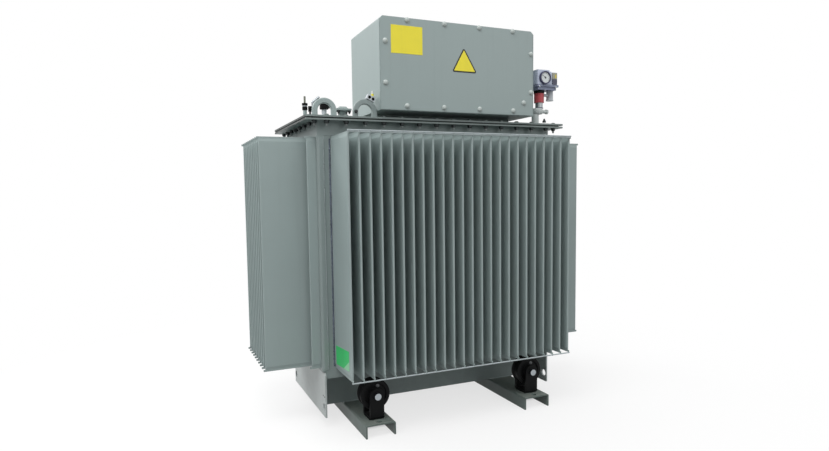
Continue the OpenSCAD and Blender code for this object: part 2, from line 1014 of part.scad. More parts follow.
// Turned filler: foot, body, waist, cap and rod
module filler() {
    body = filler_foot + filler_height;
    waist = body + filler_waist;
    cap = waist + filler_cap_height;
    rod = cap + filler_rod_height;
    color(black)
        translate([filler_at[0], filler_at[1], lid_top])
            rotate_extrude()
                polygon([
                    [0, 0], [filler_foot_radius, 0], [filler_foot_radius, filler_foot],
                    [filler_radius, filler_foot], [filler_radius, body], [filler_waist_radius, body],
                    [filler_waist_radius, waist], [filler_cap_radius, waist], [filler_cap_radius, cap],
                    [filler_rod_radius, cap], [filler_rod_radius, rod], [0, rod]
                ]);
}

// Plug on a thinner stem
module small_plug() {
    color(black)
        translate([filler_at[0] + plug_offset, filler_at[1], lid_top])
            union() {
                cylinder(d = plug_radius, h = plug_stem);
                translate([0, 0, plug_stem])
                    cylinder(r = plug_radius, h = plug_height);
            }
}

// Knob with a chamfered rim and a pointer, on a stem
module tap_changer() {
    rim = tap_radius - tap_chamfer;
    shoulder = tap_stem + tap_height - tap_chamfer;
    top = tap_stem + tap_height;
    color(black)
        translate([tap_at[0], tap_at[1], lid_top])
            union() {
                rotate_extrude()
                    polygon([
                        [0, 0], [tap_stem_radius, 0], [tap_stem_radius, tap_stem], [tap_radius, tap_stem],
                        [tap_radius, shoulder], [rim, top], [0, top]
                    ]);
                translate([0, 0, tap_stem + tap_chamfer])
                    linear_extrude(tap_height - 2 * tap_chamfer)
                        polygon([[0, -rim], [tap_pointer, 0], [0, rim]]);
            }
}

// Post with a slanted arm on top
module tap_lever() {
    color(steel)
        translate([tap_at[0] - lever_offset, tap_at[1], lid_top])
            union() {
                cylinder(r = lever_radius, h = lever_height);
                translate([0, 0, lever_height])
                    sphere(r = lever_radius);
                translate([0, 0, lever_height])
                    rotate([0, lever_slant, 0])
                        cylinder(r = lever_radius, h = lever_arm);
            }
}

// Painted pipe with the barrel-shaped elbow and its side stub
module relay_pipe() {
    nut_z = relay_nut_bottom + relay_nut_height / 2;
    nut_x = -relay_pipe_step / 2;
    side = 2 * relay_nut_radius;
    color(pale_paint)
        translate([relay_at[0], relay_at[1], 0])
            union() {
                translate([-relay_pipe_step, 0, lid_top])
                    cylinder(r = relay_pipe_radius, h = relay_pipe_height);
                intersection() {
                    translate([nut_x, 0, nut_z])
                        sphere(r = relay_nut_radius);
                    block([-side, -side, relay_nut_bottom], [side, side, relay_upper_bottom]);
                }
                translate([0, 0, nut_z])
                    rotate([0, 90, 0])
                        cylinder(r = relay_stub_radius, h = relay_stub_reach);
                translate([relay_stub_reach - relay_stub_end, 0, nut_z])
                    rotate([0, 90, 0])
                        cylinder(r = relay_stub_hexagon, h = relay_stub_end, $fn = 6);
            }
}

module relay_upper_pipe() {
    color(steel)
        translate([relay_at[0], relay_at[1], relay_upper_bottom])
            cylinder(r = relay_upper_radius, h = relay_upper_height);
}

module relay_sleeve() {
    color([0.65, 0.12, 0.14])
        translate([relay_at[0], relay_at[1], relay_sleeve_bottom])
            cylinder(r = relay_sleeve_radius, h = relay_sleeve_height);
}

module relay_ring() {
    color(black)
        translate([relay_at[0], relay_at[1], relay_ring_bottom])
            cylinder(r = relay_ring_radius, h = relay_ring_height);
}

// Base with a wide upper flange over a narrower lower part
module relay_base() {
    right = relay_left_x + relay_width;
    rear = relay_front_y + relay_depth;
    flange_z = relay_body_bottom - relay_flange;
    color(relay_grey)
        union() {
            block(
                [relay_left_x, relay_front_y, flange_z],
                [right + relay_base_reach, rear, relay_body_bottom]
            );
            block(
                [relay_left_x + relay_flange_step, relay_front_y + relay_flange_step, relay_base_bottom],
                [right, rear - relay_flange_step, flange_z]
            );
        }
}

// Body with a lower shoulder at the right and a round knob on that shoulder
module relay_body() {
    right = relay_left_x + relay_width;
    step_x = right - relay_shoulder_width;
    rear = relay_front_y + relay_depth;
    top = relay_body_bottom + relay_body_height;
    shoulder_z = top - relay_shoulder;
    color(relay_grey)
        union() {
            block([relay_left_x, relay_front_y, relay_body_bottom], [right, rear, shoulder_z]);
            block([relay_left_x, relay_front_y, relay_body_bottom], [step_x, rear, top]);
            translate([right - relay_shoulder_width / 2, relay_front_y + relay_depth / 2, shoulder_z])
                cylinder(r = relay_knob_radius, h = relay_knob_height);
        }
}

// Round case of the dial with a recess for its face
module relay_dial() {
    z = relay_body_bottom + relay_body_height / 2 - dial_drop;
    color([0.16, 0.17, 0.24])
        translate([relay_left_x + dial_offset, relay_front_y, z])
            rotate([90, 0, 0])
                difference() {
                    cylinder(r = dial_radius, h = dial_depth);
                    translate([0, 0, dial_depth - dial_recess])
                        cylinder(r = dial_radius - dial_rim, h = dial_recess + cut_overrun);
                }
}

module relay_window() {
    right = relay_left_x + relay_width - window_step;
    low = relay_body_bottom + window_lift;
    color([0.5, 0.5, 0.3])
        block(
            [right - window_width, relay_front_y - window_depth, low],
            [right, relay_front_y, low + window_height]
        );
}

// Hanging plug with a rim below and a side branch that ends at the sleeve
module relay_gland() {
    reach = gland_offset - relay_sleeve_radius - seat_gap;
    color(steel)
        translate([relay_at[0] + gland_offset, relay_at[1], relay_base_bottom - gland_height])
            union() {
                cylinder(r = gland_radius, h = gland_height);
                cylinder(r = gland_rim_radius, h = gland_rim);
                translate([0, 0, gland_branch])
                    rotate([0, -90, 0])
                        cylinder(r = gland_branch_radius, h = reach);
            }
}

skid_left();
skid_right();
roller_forks();
roller_pins();
wheel_front_left();
wheel_front_right();
wheel_rear_left();
wheel_rear_right();
base_front_wall();
base_rear_wall();
end_plate_left();
end_plate_right();
tank_bottom_plate();
tank_front_wall();
tank_rear_wall();
tank_left_wall();
tank_right_wall();
tank_collar();
front_fins();
rear_fins();
left_fins();
right_fins();
fin_bars();
tank_flange();
lid_gasket();
lid();
cable_box_neck();
cable_box_body();
cable_box_cover();
lifting_lugs();
low_arch();
arch_clamp();
hatch();
filler();
small_plug();
tap_changer();
tap_lever();
relay_pipe();
relay_upper_pipe();
relay_sleeve();
relay_ring();
relay_base();
relay_body();
relay_dial();
relay_window();
relay_gland();
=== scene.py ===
"""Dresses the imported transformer: finishes, fasteners, weld beads, bare plates and the relay's gauge."""

import logging
import math
from dataclasses import dataclass, field, fields, replace
from enum import Enum

import bmesh
import bpy
from mathutils import Matrix, Vector


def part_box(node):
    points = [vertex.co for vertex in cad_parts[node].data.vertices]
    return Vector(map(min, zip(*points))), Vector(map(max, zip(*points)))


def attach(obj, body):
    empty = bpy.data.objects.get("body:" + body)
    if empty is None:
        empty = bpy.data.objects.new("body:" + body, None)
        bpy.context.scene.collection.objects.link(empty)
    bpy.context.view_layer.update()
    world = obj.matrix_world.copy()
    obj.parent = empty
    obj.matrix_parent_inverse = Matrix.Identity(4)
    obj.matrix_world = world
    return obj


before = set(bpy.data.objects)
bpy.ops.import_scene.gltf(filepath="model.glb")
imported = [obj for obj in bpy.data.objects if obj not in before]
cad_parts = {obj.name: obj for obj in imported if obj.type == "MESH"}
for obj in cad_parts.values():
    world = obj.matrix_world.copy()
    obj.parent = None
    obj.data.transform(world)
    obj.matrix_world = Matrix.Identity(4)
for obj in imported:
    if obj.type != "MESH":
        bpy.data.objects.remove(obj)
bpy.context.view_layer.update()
LOG = logging.getLogger("transformer")
MM = 0.001
IMAGE = (829, 451)
WHITE = (1.0, 1.0, 1.0, 1.0)
FLOAT = "NodeSocketFloat"
INTEGER = "NodeSocketInt"
VECTOR = "NodeSocketVector"
COLOUR = "NodeSocketColor"
GEOMETRY = "NodeSocketGeometry"
MATERIAL = "NodeSocketMaterial"
Colour = tuple[float, float, float]
Point = tuple[float, float, float]
Pair = tuple[float, float]
BMesh = bmesh.types.BMesh
Material = bpy.types.Material
Mesh = bpy.types.Mesh
Socket = bpy.types.NodeSocket
Tree = bpy.types.NodeTree


def linear(colour: Colour) -> tuple[float, float, float, float]:
    """Turn display values from 0 to 255 into a linear colour.

    Args:
        colour: Red, green and blue as shown on a display.

    Returns:
        The linear red, green and blue, and full alpha.
    """
    parts = [c / 255 for c in colour]
    light = [p / 12.92 if p <= 0.04045 else ((p + 0.055) / 1.055) ** 2.4 for p in parts]
    return (light[0], light[1], light[2], 1.0)


def grey(level: float) -> tuple[float, float, float, float]:
    """Return a linear grey with full alpha."""
    return (level, level, level, 1.0)


def metres(point: Point) -> Vector:
    """Turn a place in millimetres into metres."""
    return Vector(point) * MM


def box_mm(node: str) -> tuple[Vector, Vector]:
    """Return the two corners of a node's box in millimetres."""
    low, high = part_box(node)
    return low / MM, high / MM


def spaced(first: float, last: float, count: int) -> list[float]:
    """Return a number of evenly spaced values from the first to the last."""
    return [first + (last - first) * i / (count - 1) for i in range(count)]


class Graph:
    """Adds nodes to one tree and joins them."""

    def __init__(self, tree: Tree) -> None:
        """Keep the tree that the nodes go into."""
        self.tree = tree

    def feed(self, target: Socket, value: object) -> None:
        """Link a socket to an input, or set the input's own value.

        Args:
            target: The input.
            value: Source socket or plain value.
        """
        if isinstance(value, Socket):
            self.tree.links.new(value, target)
        else:
            target.default_value = value

    def add(self, kind: str, values: dict | None = None, **settings: object) -> bpy.types.Node:
        """Add a node.

        Args:
            kind: Type name of the node.
            values: Values or source sockets by the input's name or number.
            settings: Properties of the node itself.

        Returns:
            The new node.
        """
        node = self.tree.nodes.new(kind)
        for key, value in settings.items():
            setattr(node, key, value)
        for key, value in (values or {}).items():
            self.feed(node.inputs[key], value)
        return node

    def out(self, kind: str, values: dict | None = None, output: int | str = 0, **settings: object) -> Socket:
        """Add a node as add does, and return one of its outputs by name or number."""
        return self.add(kind, values, **settings).outputs[output]

    def math(self, operation: str, first: object, second: object = 0.0) -> Socket:
        """Return the result of a Math node on two values or sockets."""
        return self.out("ShaderNodeMath", {0: first, 1: second}, operation=operation)

    def times(self, first: object, second: object) -> Socket:
        """Return the product of two values."""
        return self.math("MULTIPLY", first, second)

    def plus(self, first: object, second: object) -> Socket:
        """Return the sum of two values."""
        return self.math("ADD", first, second)

    def ramp(self, value: object, low: float, high: float, start: object = 0.0, end: object = 1.0) -> Socket:
        """Map the range from low to high to the range from start to end, held at the ends."""
        return self.out("ShaderNodeMapRange", {"Value": value, 1: low, 2: high, 3: start, 4: end}, clamp=True)

    def noise(self, place: Socket, scale: object, detail: float) -> Socket:
        """Return noise from 0 to 1; the scale is in cells per metre, the detail in finer layers."""
        values = {"Vector": place, "Scale": scale, "Detail": detail, "Roughness": 0.55}
        return self.out("ShaderNodeTexNoise", values)

    def mix(self, factor: object, first: object, second: object) -> Socket:
        """Mix two colours; the factor is the share of the second one."""
        return self.out("ShaderNodeMix", {0: factor, 6: first, 7: second}, 2, data_type="RGBA")

    def split(self, vector: Socket) -> list[Socket]:
        """Return the X, Y and Z parts of a vector."""
        return list(self.add("ShaderNodeSeparateXYZ", {0: vector}).outputs)

    def combine(self, x: object = 0.0, y: object = 0.0, z: object = 0.0) -> Socket:
        """Return a vector made of three values."""
        return self.out("ShaderNodeCombineXYZ", {0: x, 1: y, 2: z})

    def place(self) -> Socket:
        """Return the Object coordinates."""
        return self.out("ShaderNodeTexCoord", output="Object")

    def normal(self) -> Socket:
        """Return the surface's own normal."""
        return self.out("ShaderNodeNewGeometry", output="Normal")


def new_group(name: str, kind: str, inputs: dict[str, tuple[str, object]], outputs: dict[str, str]) -> Tree:
    """Make an empty node group with named sockets.

    Args:
        name: Name of the group.
        kind: Tree type.
        inputs: Socket type and default by name.
        outputs: Socket type by name.

    Returns:
        The group.
    """
    tree = bpy.data.node_groups.new(name, kind)
    for label, (socket, default) in inputs.items():
        item = tree.interface.new_socket(label, in_out="INPUT", socket_type=socket)
        if default is not None:
            item.default_value = default
    for label, socket in outputs.items():
        tree.interface.new_socket(label, in_out="OUTPUT", socket_type=socket)
    return tree


@dataclass
class Effects:
    """Shared surface effects, each a shader node group built once."""

    noise_span: Pair = (0.3, 0.7)
    speck: float = 0.35
    rough_swing: float = 0.05
    dust_cells: float = 14.0
    dust_span: Pair = (0.35, 0.7)
    dust_facing: Pair = (0.3, 0.95)
    dust_least: float = 0.45
    run_cells: Point = (48.0, 48.0, 1.6)
    run_span: Pair = (0.52, 0.78)
    splash_top: float = 0.3
    bend_span: Pair = (0.97, 0.8)
    chip_cells: float = 60.0
    chip_span: Pair = (0.35, 0.65)

    def __post_init__(self) -> None:
        """Build the three groups."""
        self.skin = self.build_skin()
        self.grime = self.build_grime()
        self.edge = self.build_edge()

    def build_skin(self) -> Tree:
        """Build the skin of a coat: broad mottling and fine grain.

        Returns:
            The node group.
        """
        inputs = {
            "Color": (COLOUR, (0.5, 0.5, 0.5, 1.0)),
            "Mottle": (FLOAT, 0.05),
            "Mottle Scale": (FLOAT, 3.0),
            "Grain Scale": (FLOAT, 600.0),
            "Roughness": (FLOAT, 0.4),
        }
        outputs = {"Color": COLOUR, "Roughness": FLOAT, "Height": FLOAT}
        tree = new_group("coat_skin", "ShaderNodeTree", inputs, outputs)
        graph = Graph(tree)
        entry = graph.add("NodeGroupInput").outputs
        place = graph.place()
        broad = graph.noise(place, entry["Mottle Scale"], 4.0)
        fine = graph.noise(place, entry["Grain Scale"], 2.0)
        swing = graph.times(graph.ramp(broad, *self.noise_span, -1.0, 1.0), entry["Mottle"])
        speck = graph.times(graph.ramp(fine, *self.noise_span, -self.speck, self.speck), entry["Mottle"])
        level = graph.plus(graph.plus(swing, speck), 1.0)
        tinted = graph.out("ShaderNodeVectorMath", {0: entry["Color"], 3: level}, operation="SCALE")
        uneven = graph.ramp(broad, *self.noise_span, -self.rough_swing, self.rough_swing)
        rough = graph.plus(entry["Roughness"], uneven)
        graph.add("NodeGroupOutput", {"Color": tinted, "Roughness": rough, "Height": fine})
        return tree

    def build_grime(self) -> Tree:
        """Build dust on what faces up, runs down upright faces and splash near the ground.

        Returns:
            The node group.
        """
        inputs = {"Dust": (FLOAT, 0.2), "Runs": (FLOAT, 0.1), "Splash": (FLOAT, 0.1)}
        tree = new_group("settled_grime", "ShaderNodeTree", inputs, {"Dust": FLOAT, "Dirt": FLOAT})
        graph = Graph(tree)
        entry = graph.add("NodeGroupInput").outputs
        place = graph.place()
        facing = graph.split(graph.normal())[2]
        height = graph.split(place)[2]
        patch = graph.ramp(graph.noise(place, self.dust_cells, 5.0), *self.dust_span)
        uneven = graph.ramp(patch, 0.0, 1.0, self.dust_least, 1.0)
        dust = graph.times(graph.times(graph.ramp(facing, *self.dust_facing), uneven), entry["Dust"])
        drawn = graph.out("ShaderNodeMapping", {"Vector": place, "Scale": self.run_cells})
        runs = graph.times(graph.ramp(graph.noise(drawn, 1.0, 3.0), *self.run_span), entry["Runs"])
        low = graph.times(graph.ramp(height, 0.0, self.splash_top, 1.0, 0.0), patch)
        dirt = graph.plus(runs, graph.times(low, entry["Splash"]))
        graph.add("NodeGroupOutput", {"Dust": dust, "Dirt": dirt})
        return tree

    def build_edge(self) -> Tree:
        """Build softened edges and a pale strip along them, partly rubbed wear and partly a painted edge
        highlight.

        Returns:
            The node group.
        """
        inputs = {"Radius": (FLOAT, 0.0015), "Wear": (FLOAT, 0.3)}
        tree = new_group("rubbed_and_lit_edge", "ShaderNodeTree", inputs, {"Mask": FLOAT, "Normal": VECTOR})
        graph = Graph(tree)
        entry = graph.add("NodeGroupInput").outputs
        soft = graph.out("ShaderNodeBevel", {"Radius": entry["Radius"]}, samples=4)
        along = graph.out("ShaderNodeVectorMath", {0: soft, 1: graph.normal()}, 1, operation="DOT_PRODUCT")
        bend = graph.ramp(along, *self.bend_span)
        broken = graph.ramp(graph.noise(graph.place(), self.chip_cells, 5.0), *self.chip_span)
        mask = graph.times(graph.times(bend, broken), entry["Wear"])
        graph.add("NodeGroupOutput", {"Mask": mask, "Normal": soft})
        return tree


@dataclass(frozen=True)
class Finish:
    """One surface finish and the material that shows it."""

    name: str
    colour: Colour
    roughness: float = 0.4
    metallic: float = 0.0
    mottle: float = 0.05
    mottle_scale: float = 3.0
    grain_scale: float = 600.0
    grain_depth: float = 0.12
    grain_height: float = 1.0 * MM
    dust: float = 0.0
    runs: float = 0.0
    splash: float = 0.0
    wear: float = 0.0
    # Colour of the edge strip; the pale grey on the paints is partly wear and partly a painted edge
    # highlight.
    wear_colour: Colour = (182, 190, 191)
    dirt_colour: Colour = (74, 76, 70)
    # Colour of dust on faces that look up; on the cover screws it is also a painted top highlight.
    dust_and_highlight_colour: Colour = (176, 176, 168)
    dust_roughness: float = 0.3
    edge_radius: float = 0.0015
    coat: float = 0.0
    coat_roughness: float = 0.08
    specular: float = 0.3

    def tint(self, graph: Graph, colour: Socket) -> Socket:
        """Return the coat's colour; a finish with a pattern changes it here."""
        return colour

    def material(self, effects: Effects) -> Material:
        """Build the material.

        Args:
            effects: Shared node groups.

        Returns:
            The material.
        """
        material = bpy.data.materials.new(self.name)
        material.use_nodes = True
        material.node_tree.nodes.clear()
        graph = Graph(material.node_tree)
        skin = graph.add("ShaderNodeGroup", node_tree=effects.skin)
        grime = graph.add("ShaderNodeGroup", node_tree=effects.grime)
        edge = graph.add("ShaderNodeGroup", node_tree=effects.edge)
        settings = {
            skin: {"Color": linear(self.colour), "Mottle": self.mottle, "Mottle Scale": self.mottle_scale,
                   "Grain Scale": self.grain_scale, "Roughness": self.roughness},
            grime: {"Dust": self.dust, "Runs": self.runs, "Splash": self.splash},
            edge: {"Radius": self.edge_radius, "Wear": self.wear},
        }
        for node, values in settings.items():
            for key, value in values.items():
                node.inputs[key].default_value = value
        colour = self.tint(graph, skin.outputs["Color"])
        colour = graph.mix(grime.outputs["Dirt"], colour, linear(self.dirt_colour))
        # Dust on upward faces; on the cover screws also a painted highlight on the domes' tops.
        colour = graph.mix(grime.outputs["Dust"], colour, linear(self.dust_and_highlight_colour))
        # Edge strip: partly rubbed wear, partly a painted highlight along the edges.
        colour = graph.mix(edge.outputs["Mask"], colour, linear(self.wear_colour))
        rough = graph.plus(skin.outputs["Roughness"], graph.times(grime.outputs["Dust"], self.dust_roughness))
        bump = graph.out(
            "ShaderNodeBump",
            {"Strength": self.grain_depth, "Distance": self.grain_height, "Height": skin.outputs["Height"],
             "Normal": edge.outputs["Normal"]},
        )
        shader = graph.out(
            "ShaderNodeBsdfPrincipled",
            {"Base Color": colour, "Roughness": rough, "Metallic": self.metallic, "Normal": bump,
             "Coat Weight": self.coat, "Coat Roughness": self.coat_roughness,
             "Specular IOR Level": self.specular},
        )
        graph.add("ShaderNodeOutputMaterial", {"Surface": shader})
        return material


@dataclass(frozen=True)
class WindowFinish(Finish):
    """Sight window with a clear upper part and a dark lower part."""

    lower_colour: Colour = (44, 46, 74)
    flag_colour: Colour = (206, 186, 60)
    level: float = 0.0
    flag_low: float = 0.0
    flag_high: float = 0.0
    flag_left: float = 0.0
    flag_right: float = 0.0
    flag_blur: float = 0.6 * MM
    level_blur: float = 2.0 * MM

    def band(self, graph: Graph, value: Socket, low: float, high: float) -> Socket:
        """Return a mask that is 1 between two values.

        Args:
            graph: The material's nodes.
            value: Value to test.
            low: Lower limit.
            high: Upper limit.

        Returns:
            The mask.
        """
        over = graph.ramp(value, low - self.flag_blur, low)
        under = graph.ramp(value, high, high + self.flag_blur, 1.0, 0.0)
        return graph.times(over, under)

    def tint(self, graph: Graph, colour: Socket) -> Socket:
        """Split the colour by height and add the yellow flag.

        Args:
            graph: The material's nodes.
            colour: Colour of the upper part.

        Returns:
            The split colour.
        """
        across, _, height = graph.split(graph.place())
        flag = graph.times(self.band(graph, height, self.flag_low, self.flag_high),
                           self.band(graph, across, self.flag_left, self.flag_right))
        upper = graph.mix(flag, colour, linear(self.flag_colour))
        below = graph.ramp(height, self.level, self.level + self.level_blur, 1.0, 0.0)
        return graph.mix(below, upper, linear(self.lower_colour))


@dataclass(frozen=True)
class EndFinish(Finish):
    """Paint of a plate whose two short ends are darker."""

    end_colour: Colour = (50, 56, 54)
    end_facing: Pair = (0.7, 0.9)

    def tint(self, graph: Graph, colour: Socket) -> Socket:
        """Darken the faces that look to the left or right."""
        across = graph.math("ABSOLUTE", graph.split(graph.normal())[0])
        return graph.mix(graph.ramp(across, *self.end_facing), colour, linear(self.end_colour))


class Finishes:
    """The object's finishes by name."""

    PAINT = Finish("grey_tank_paint", (154, 168, 167), 0.38, mottle=0.03, mottle_scale=2.6, grain_scale=420.0,
                   dust=0.35, runs=0.04, splash=0.18, wear=0.35)
    # A darker copy of the tank paint: painted shade for the walls, collar, tray and base walls, which lie
    # under the lid and the fins.
    WALL_PAINT = Finish("shaded_grey_wall_paint", (140, 152, 151), 0.4, mottle=0.03, mottle_scale=2.6,
                        grain_scale=420.0, dust=0.25, runs=0.04, splash=0.18, wear=0.3)
    # A dark copy of the paint: painted shade for the skids, which stand under the fins.
    PALE_PAINT = Finish("shaded_grey_base_paint", (101, 115, 111), 0.42, mottle_scale=6.0, grain_scale=420.0,
                        dust=0.3, runs=0.05, splash=0.35, wear=0.45)
    # A lighter copy of the paint: painted light on the end plates, as if lit from the low left.
    END_PAINT = Finish("lit_semi_gloss_plate_paint", (188, 196, 195), 0.34, mottle=0.04, mottle_scale=5.0,
                       grain_scale=420.0, splash=0.2, wear=0.2, specular=0.2)
    LID_PAINT = EndFinish("grey_lid_paint", (126, 137, 135), 0.4, mottle=0.04, mottle_scale=4.0,
                          grain_scale=420.0, dust=0.3, wear=0.1)
    BAR_PAINT = Finish("pale_bar_paint", (176, 186, 189), 0.4, mottle=0.06, mottle_scale=20.0,
                       grain_scale=420.0, dust=0.25, wear=0.3)
    CAST = Finish("black_cast_iron", (13, 14, 15), 0.5, mottle=0.18, mottle_scale=26.0, grain_scale=320.0,
                  grain_depth=0.4, dust=0.03, splash=0.04, wear=0.4, wear_colour=(80, 83, 85),
                  edge_radius=0.0025, specular=0.1)
    STEEL = Finish("turned_steel", (156, 162, 166), 0.32, 1.0, mottle=0.08, mottle_scale=30.0,
                   grain_scale=900.0, wear=0.2, wear_colour=(214, 218, 220))
    ZINC = Finish("zinc_plate", (152, 158, 160), 0.36, 1.0, mottle=0.14, mottle_scale=90.0,
                  grain_scale=1200.0, dust=0.2, wear=0.2, wear_colour=(214, 218, 220), edge_radius=0.0006)
    NUT = Finish("dark_nut_steel", (58, 62, 63), 0.45, 0.7, mottle=0.16, mottle_scale=70.0, grain_scale=900.0,
                 wear=0.3, wear_colour=(120, 124, 126), edge_radius=0.0006)
    # The near-white dust on the cover screws is partly dust and partly a painted highlight on the domes'
    # tops.
    SCREW = Finish("matt_screw_grey", (186, 195, 192), 0.42, mottle=0.06, mottle_scale=90.0,
                   grain_scale=1200.0, dust=0.5, dust_and_highlight_colour=(226, 229, 228), edge_radius=0.0006)
    BOLT_END = Finish("dull_bolt_end", (132, 138, 137), 0.5, mottle=0.12, mottle_scale=90.0,
                      grain_scale=1200.0, wear=0.2, edge_radius=0.0006)
    GLAND = Finish("matt_grey_alloy", (196, 203, 207), 0.5, mottle=0.08, mottle_scale=60.0, grain_scale=900.0,
                   dust=0.15, wear=0.2, edge_radius=0.001)
    ELBOW = Finish("pale_elbow_paint", (196, 204, 203), 0.36, mottle=0.08, mottle_scale=30.0, dust=0.3,
                   wear=0.25)
    ROD = Finish("olive_rod", (118, 121, 108), 0.5, mottle=0.12, mottle_scale=60.0, grain_scale=900.0)
    TIP = Finish("pale_tip", (232, 234, 232), 0.45, mottle=0.04, mottle_scale=60.0, grain_scale=900.0)
    PLUG = Finish("grey_plug", (96, 98, 100), 0.45, 0.4, mottle=0.15, mottle_scale=60.0, dust=0.2)
    RUBBER = Finish("gasket_rubber", (52, 56, 56), 0.75, mottle=0.12, mottle_scale=20.0, grain_scale=500.0,
                    grain_depth=0.25)
    PLASTIC = Finish("black_plastic", (16, 17, 18), 0.5, mottle=0.1, mottle_scale=30.0, grain_scale=800.0,
                     dust=0.04, wear=0.1, wear_colour=(78, 80, 82), edge_radius=0.001, specular=0.1)
    RELAY = Finish("blue_grey_alloy", (200, 209, 228), 0.42, mottle=0.06, mottle_scale=22.0,
                   grain_scale=700.0, dust=0.3, wear=0.35, wear_colour=(176, 182, 196))
    RELAY_BASE = Finish("blue_grey_base_alloy", (140, 148, 172), 0.42, mottle=0.06, mottle_scale=22.0,
                        grain_scale=700.0, dust=0.1, wear=0.3, wear_colour=(176, 182, 196))
    RED = Finish("red_sleeve_paint", (184, 78, 84), 0.36, mottle=0.08, mottle_scale=40.0, grain_scale=700.0,
                 dust=0.15, wear=0.25, wear_colour=(196, 96, 98))
    DIAL = Finish("dark_gauge_case", (62, 62, 92), 0.38, mottle=0.08, mottle_scale=40.0, grain_scale=700.0,
                  wear=0.3, wear_colour=(120, 122, 150))
    WINDOW = WindowFinish("sight_window", (150, 150, 128), 0.3, mottle=0.1, mottle_scale=60.0,
                          grain_depth=0.02, coat=0.25)
    FACE = Finish("gauge_face_enamel", (222, 228, 228), 0.5, mottle=0.03, mottle_scale=80.0, grain_depth=0.02)
    MARK = Finish("gauge_marks", (40, 42, 48), 0.5, grain_depth=0.02)
    YELLOW = Finish("yellow_vinyl", (242, 228, 68), 0.5, mottle=0.03, mottle_scale=18.0, grain_scale=260.0,
                    grain_depth=0.06, runs=0.03, edge_radius=0.0008)
    DARK_RIM = Finish("dark_vinyl_rim", (42, 43, 38), 0.45, mottle=0.06, mottle_scale=30.0, grain_depth=0.06)
    GREEN = Finish("green_vinyl", (62, 198, 112), 0.46, mottle=0.06, mottle_scale=24.0, grain_scale=260.0,
                   grain_depth=0.08, runs=0.08, edge_radius=0.0008)
    CORNER = Finish("pale_vinyl", (150, 210, 168), 0.45, mottle=0.06, mottle_scale=24.0, grain_depth=0.06)
    SEAM = Finish("glossy_seam", (92, 98, 112), 0.22, 0.6, mottle=0.3, mottle_scale=40.0, grain_scale=380.0,
                  grain_depth=0.3)
    WELD = Finish("painted_weld", (166, 177, 178), 0.4, mottle=0.08, mottle_scale=30.0, grain_scale=380.0,
                  grain_depth=0.2, dust=0.2, splash=0.1)

    def __init__(self, effects: Effects) -> None:
        """Keep the effects and start with no materials."""
        self.effects = effects
        self.made: dict[str, Material] = {}

    def get(self, finish: Finish) -> Material:
        """Return a finish's material, built the first time.

        Args:
            finish: The finish.

        Returns:
            Its material.
        """
        if finish.name not in self.made:
            self.made[finish.name] = finish.material(self.effects)
        return self.made[finish.name]

    def coat(self, finish: Finish, *nodes: str) -> None:
        """Give nodes of the model a finish.

        Args:
            finish: The finish.
            nodes: Names of the nodes.
        """
        for name in nodes:
            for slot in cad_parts[name].material_slots:
                slot.material = self.get(finish)
            LOG.info("coated %s with %s", name, finish.name)


class Pieces:
    """Makes finished pieces that ride on a body."""

    sharp_angle = 0.6

    @staticmethod
    def add(name: str, mesh: Mesh, body: str, slot: str | None) -> None:
        """Make a piece of a mesh.

        Args:
            name: Name of the piece.
            mesh: Its mesh, placed and with its materials.
            body: Body that it moves with.
            slot: Not used.
        """
        mesh.name = name
        piece = bpy.data.objects.new(name, mesh)
        bpy.context.scene.collection.objects.link(piece)
        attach(piece, body)
        LOG.info("added %s: %d faces", name, len(mesh.polygons))

    @classmethod
    def plate(cls, outline: list[Vector], lift: Vector, bevel: float) -> BMesh:
        """Build a thin plate with softened rims from its outline.

        Args:
            outline: Corners in order, seen from the side that lift points to.
            lift: Thickness of the plate as a vector.
            bevel: Width of the softened rim.

        Returns:
            The plate.
        """
        mesh = bmesh.new()
        face = mesh.faces.new([mesh.verts.new(corner) for corner in outline])
        top = bmesh.ops.extrude_face_region(mesh, geom=[face])["geom"]
        bmesh.ops.translate(mesh, vec=lift, verts=[v for v in top if isinstance(v, bmesh.types.BMVert)])
        bmesh.ops.recalc_face_normals(mesh, faces=mesh.faces)
        sharp = [e for e in mesh.edges if e.calc_face_angle(0.0) > cls.sharp_angle]
        bmesh.ops.bevel(mesh, geom=sharp, offset=bevel, segments=2, affect="EDGES", profile=0.5)
        bmesh.ops.recalc_face_normals(mesh, faces=mesh.faces)
        return mesh

    @staticmethod
    def turned(profile: list[Pair], matrix: Matrix, steps: int) -> BMesh:
        """Build a turned shape about the Z axis and put it in its place.

        Args:
            profile: Radius and height of each ring, from the lower pole to the upper one.
            matrix: Place of the shape.
            steps: Number of faces round it.

        Returns:
            The shape.
        """
        mesh = bmesh.new()
        verts = [mesh.verts.new((radius, 0.0, height)) for radius, height in profile]
        edges = [mesh.edges.new(pair) for pair in zip(verts, verts[1:])]
        bmesh.ops.spin(mesh, geom=verts + edges, axis=(0, 0, 1), cent=(0, 0, 0), steps=steps, angle=math.tau)
        bmesh.ops.remove_doubles(mesh, verts=mesh.verts, dist=1e-6)
        bmesh.ops.recalc_face_normals(mesh, faces=mesh.faces)
        bmesh.ops.transform(mesh, matrix=matrix, verts=mesh.verts)
        return mesh

    @staticmethod
    def finish(mesh: BMesh, material: Material) -> Mesh:
        """Turn a built shape into a flat-shaded mesh with one material.

        Args:
            mesh: The built shape, which is freed.
            material: Its material.

        Returns:
            The mesh.
        """
        data = bpy.data.meshes.new(material.name)
        mesh.to_mesh(data)
        mesh.free()
        data.materials.append(material)
        for face in data.polygons:
            face.use_smooth = False
        return data


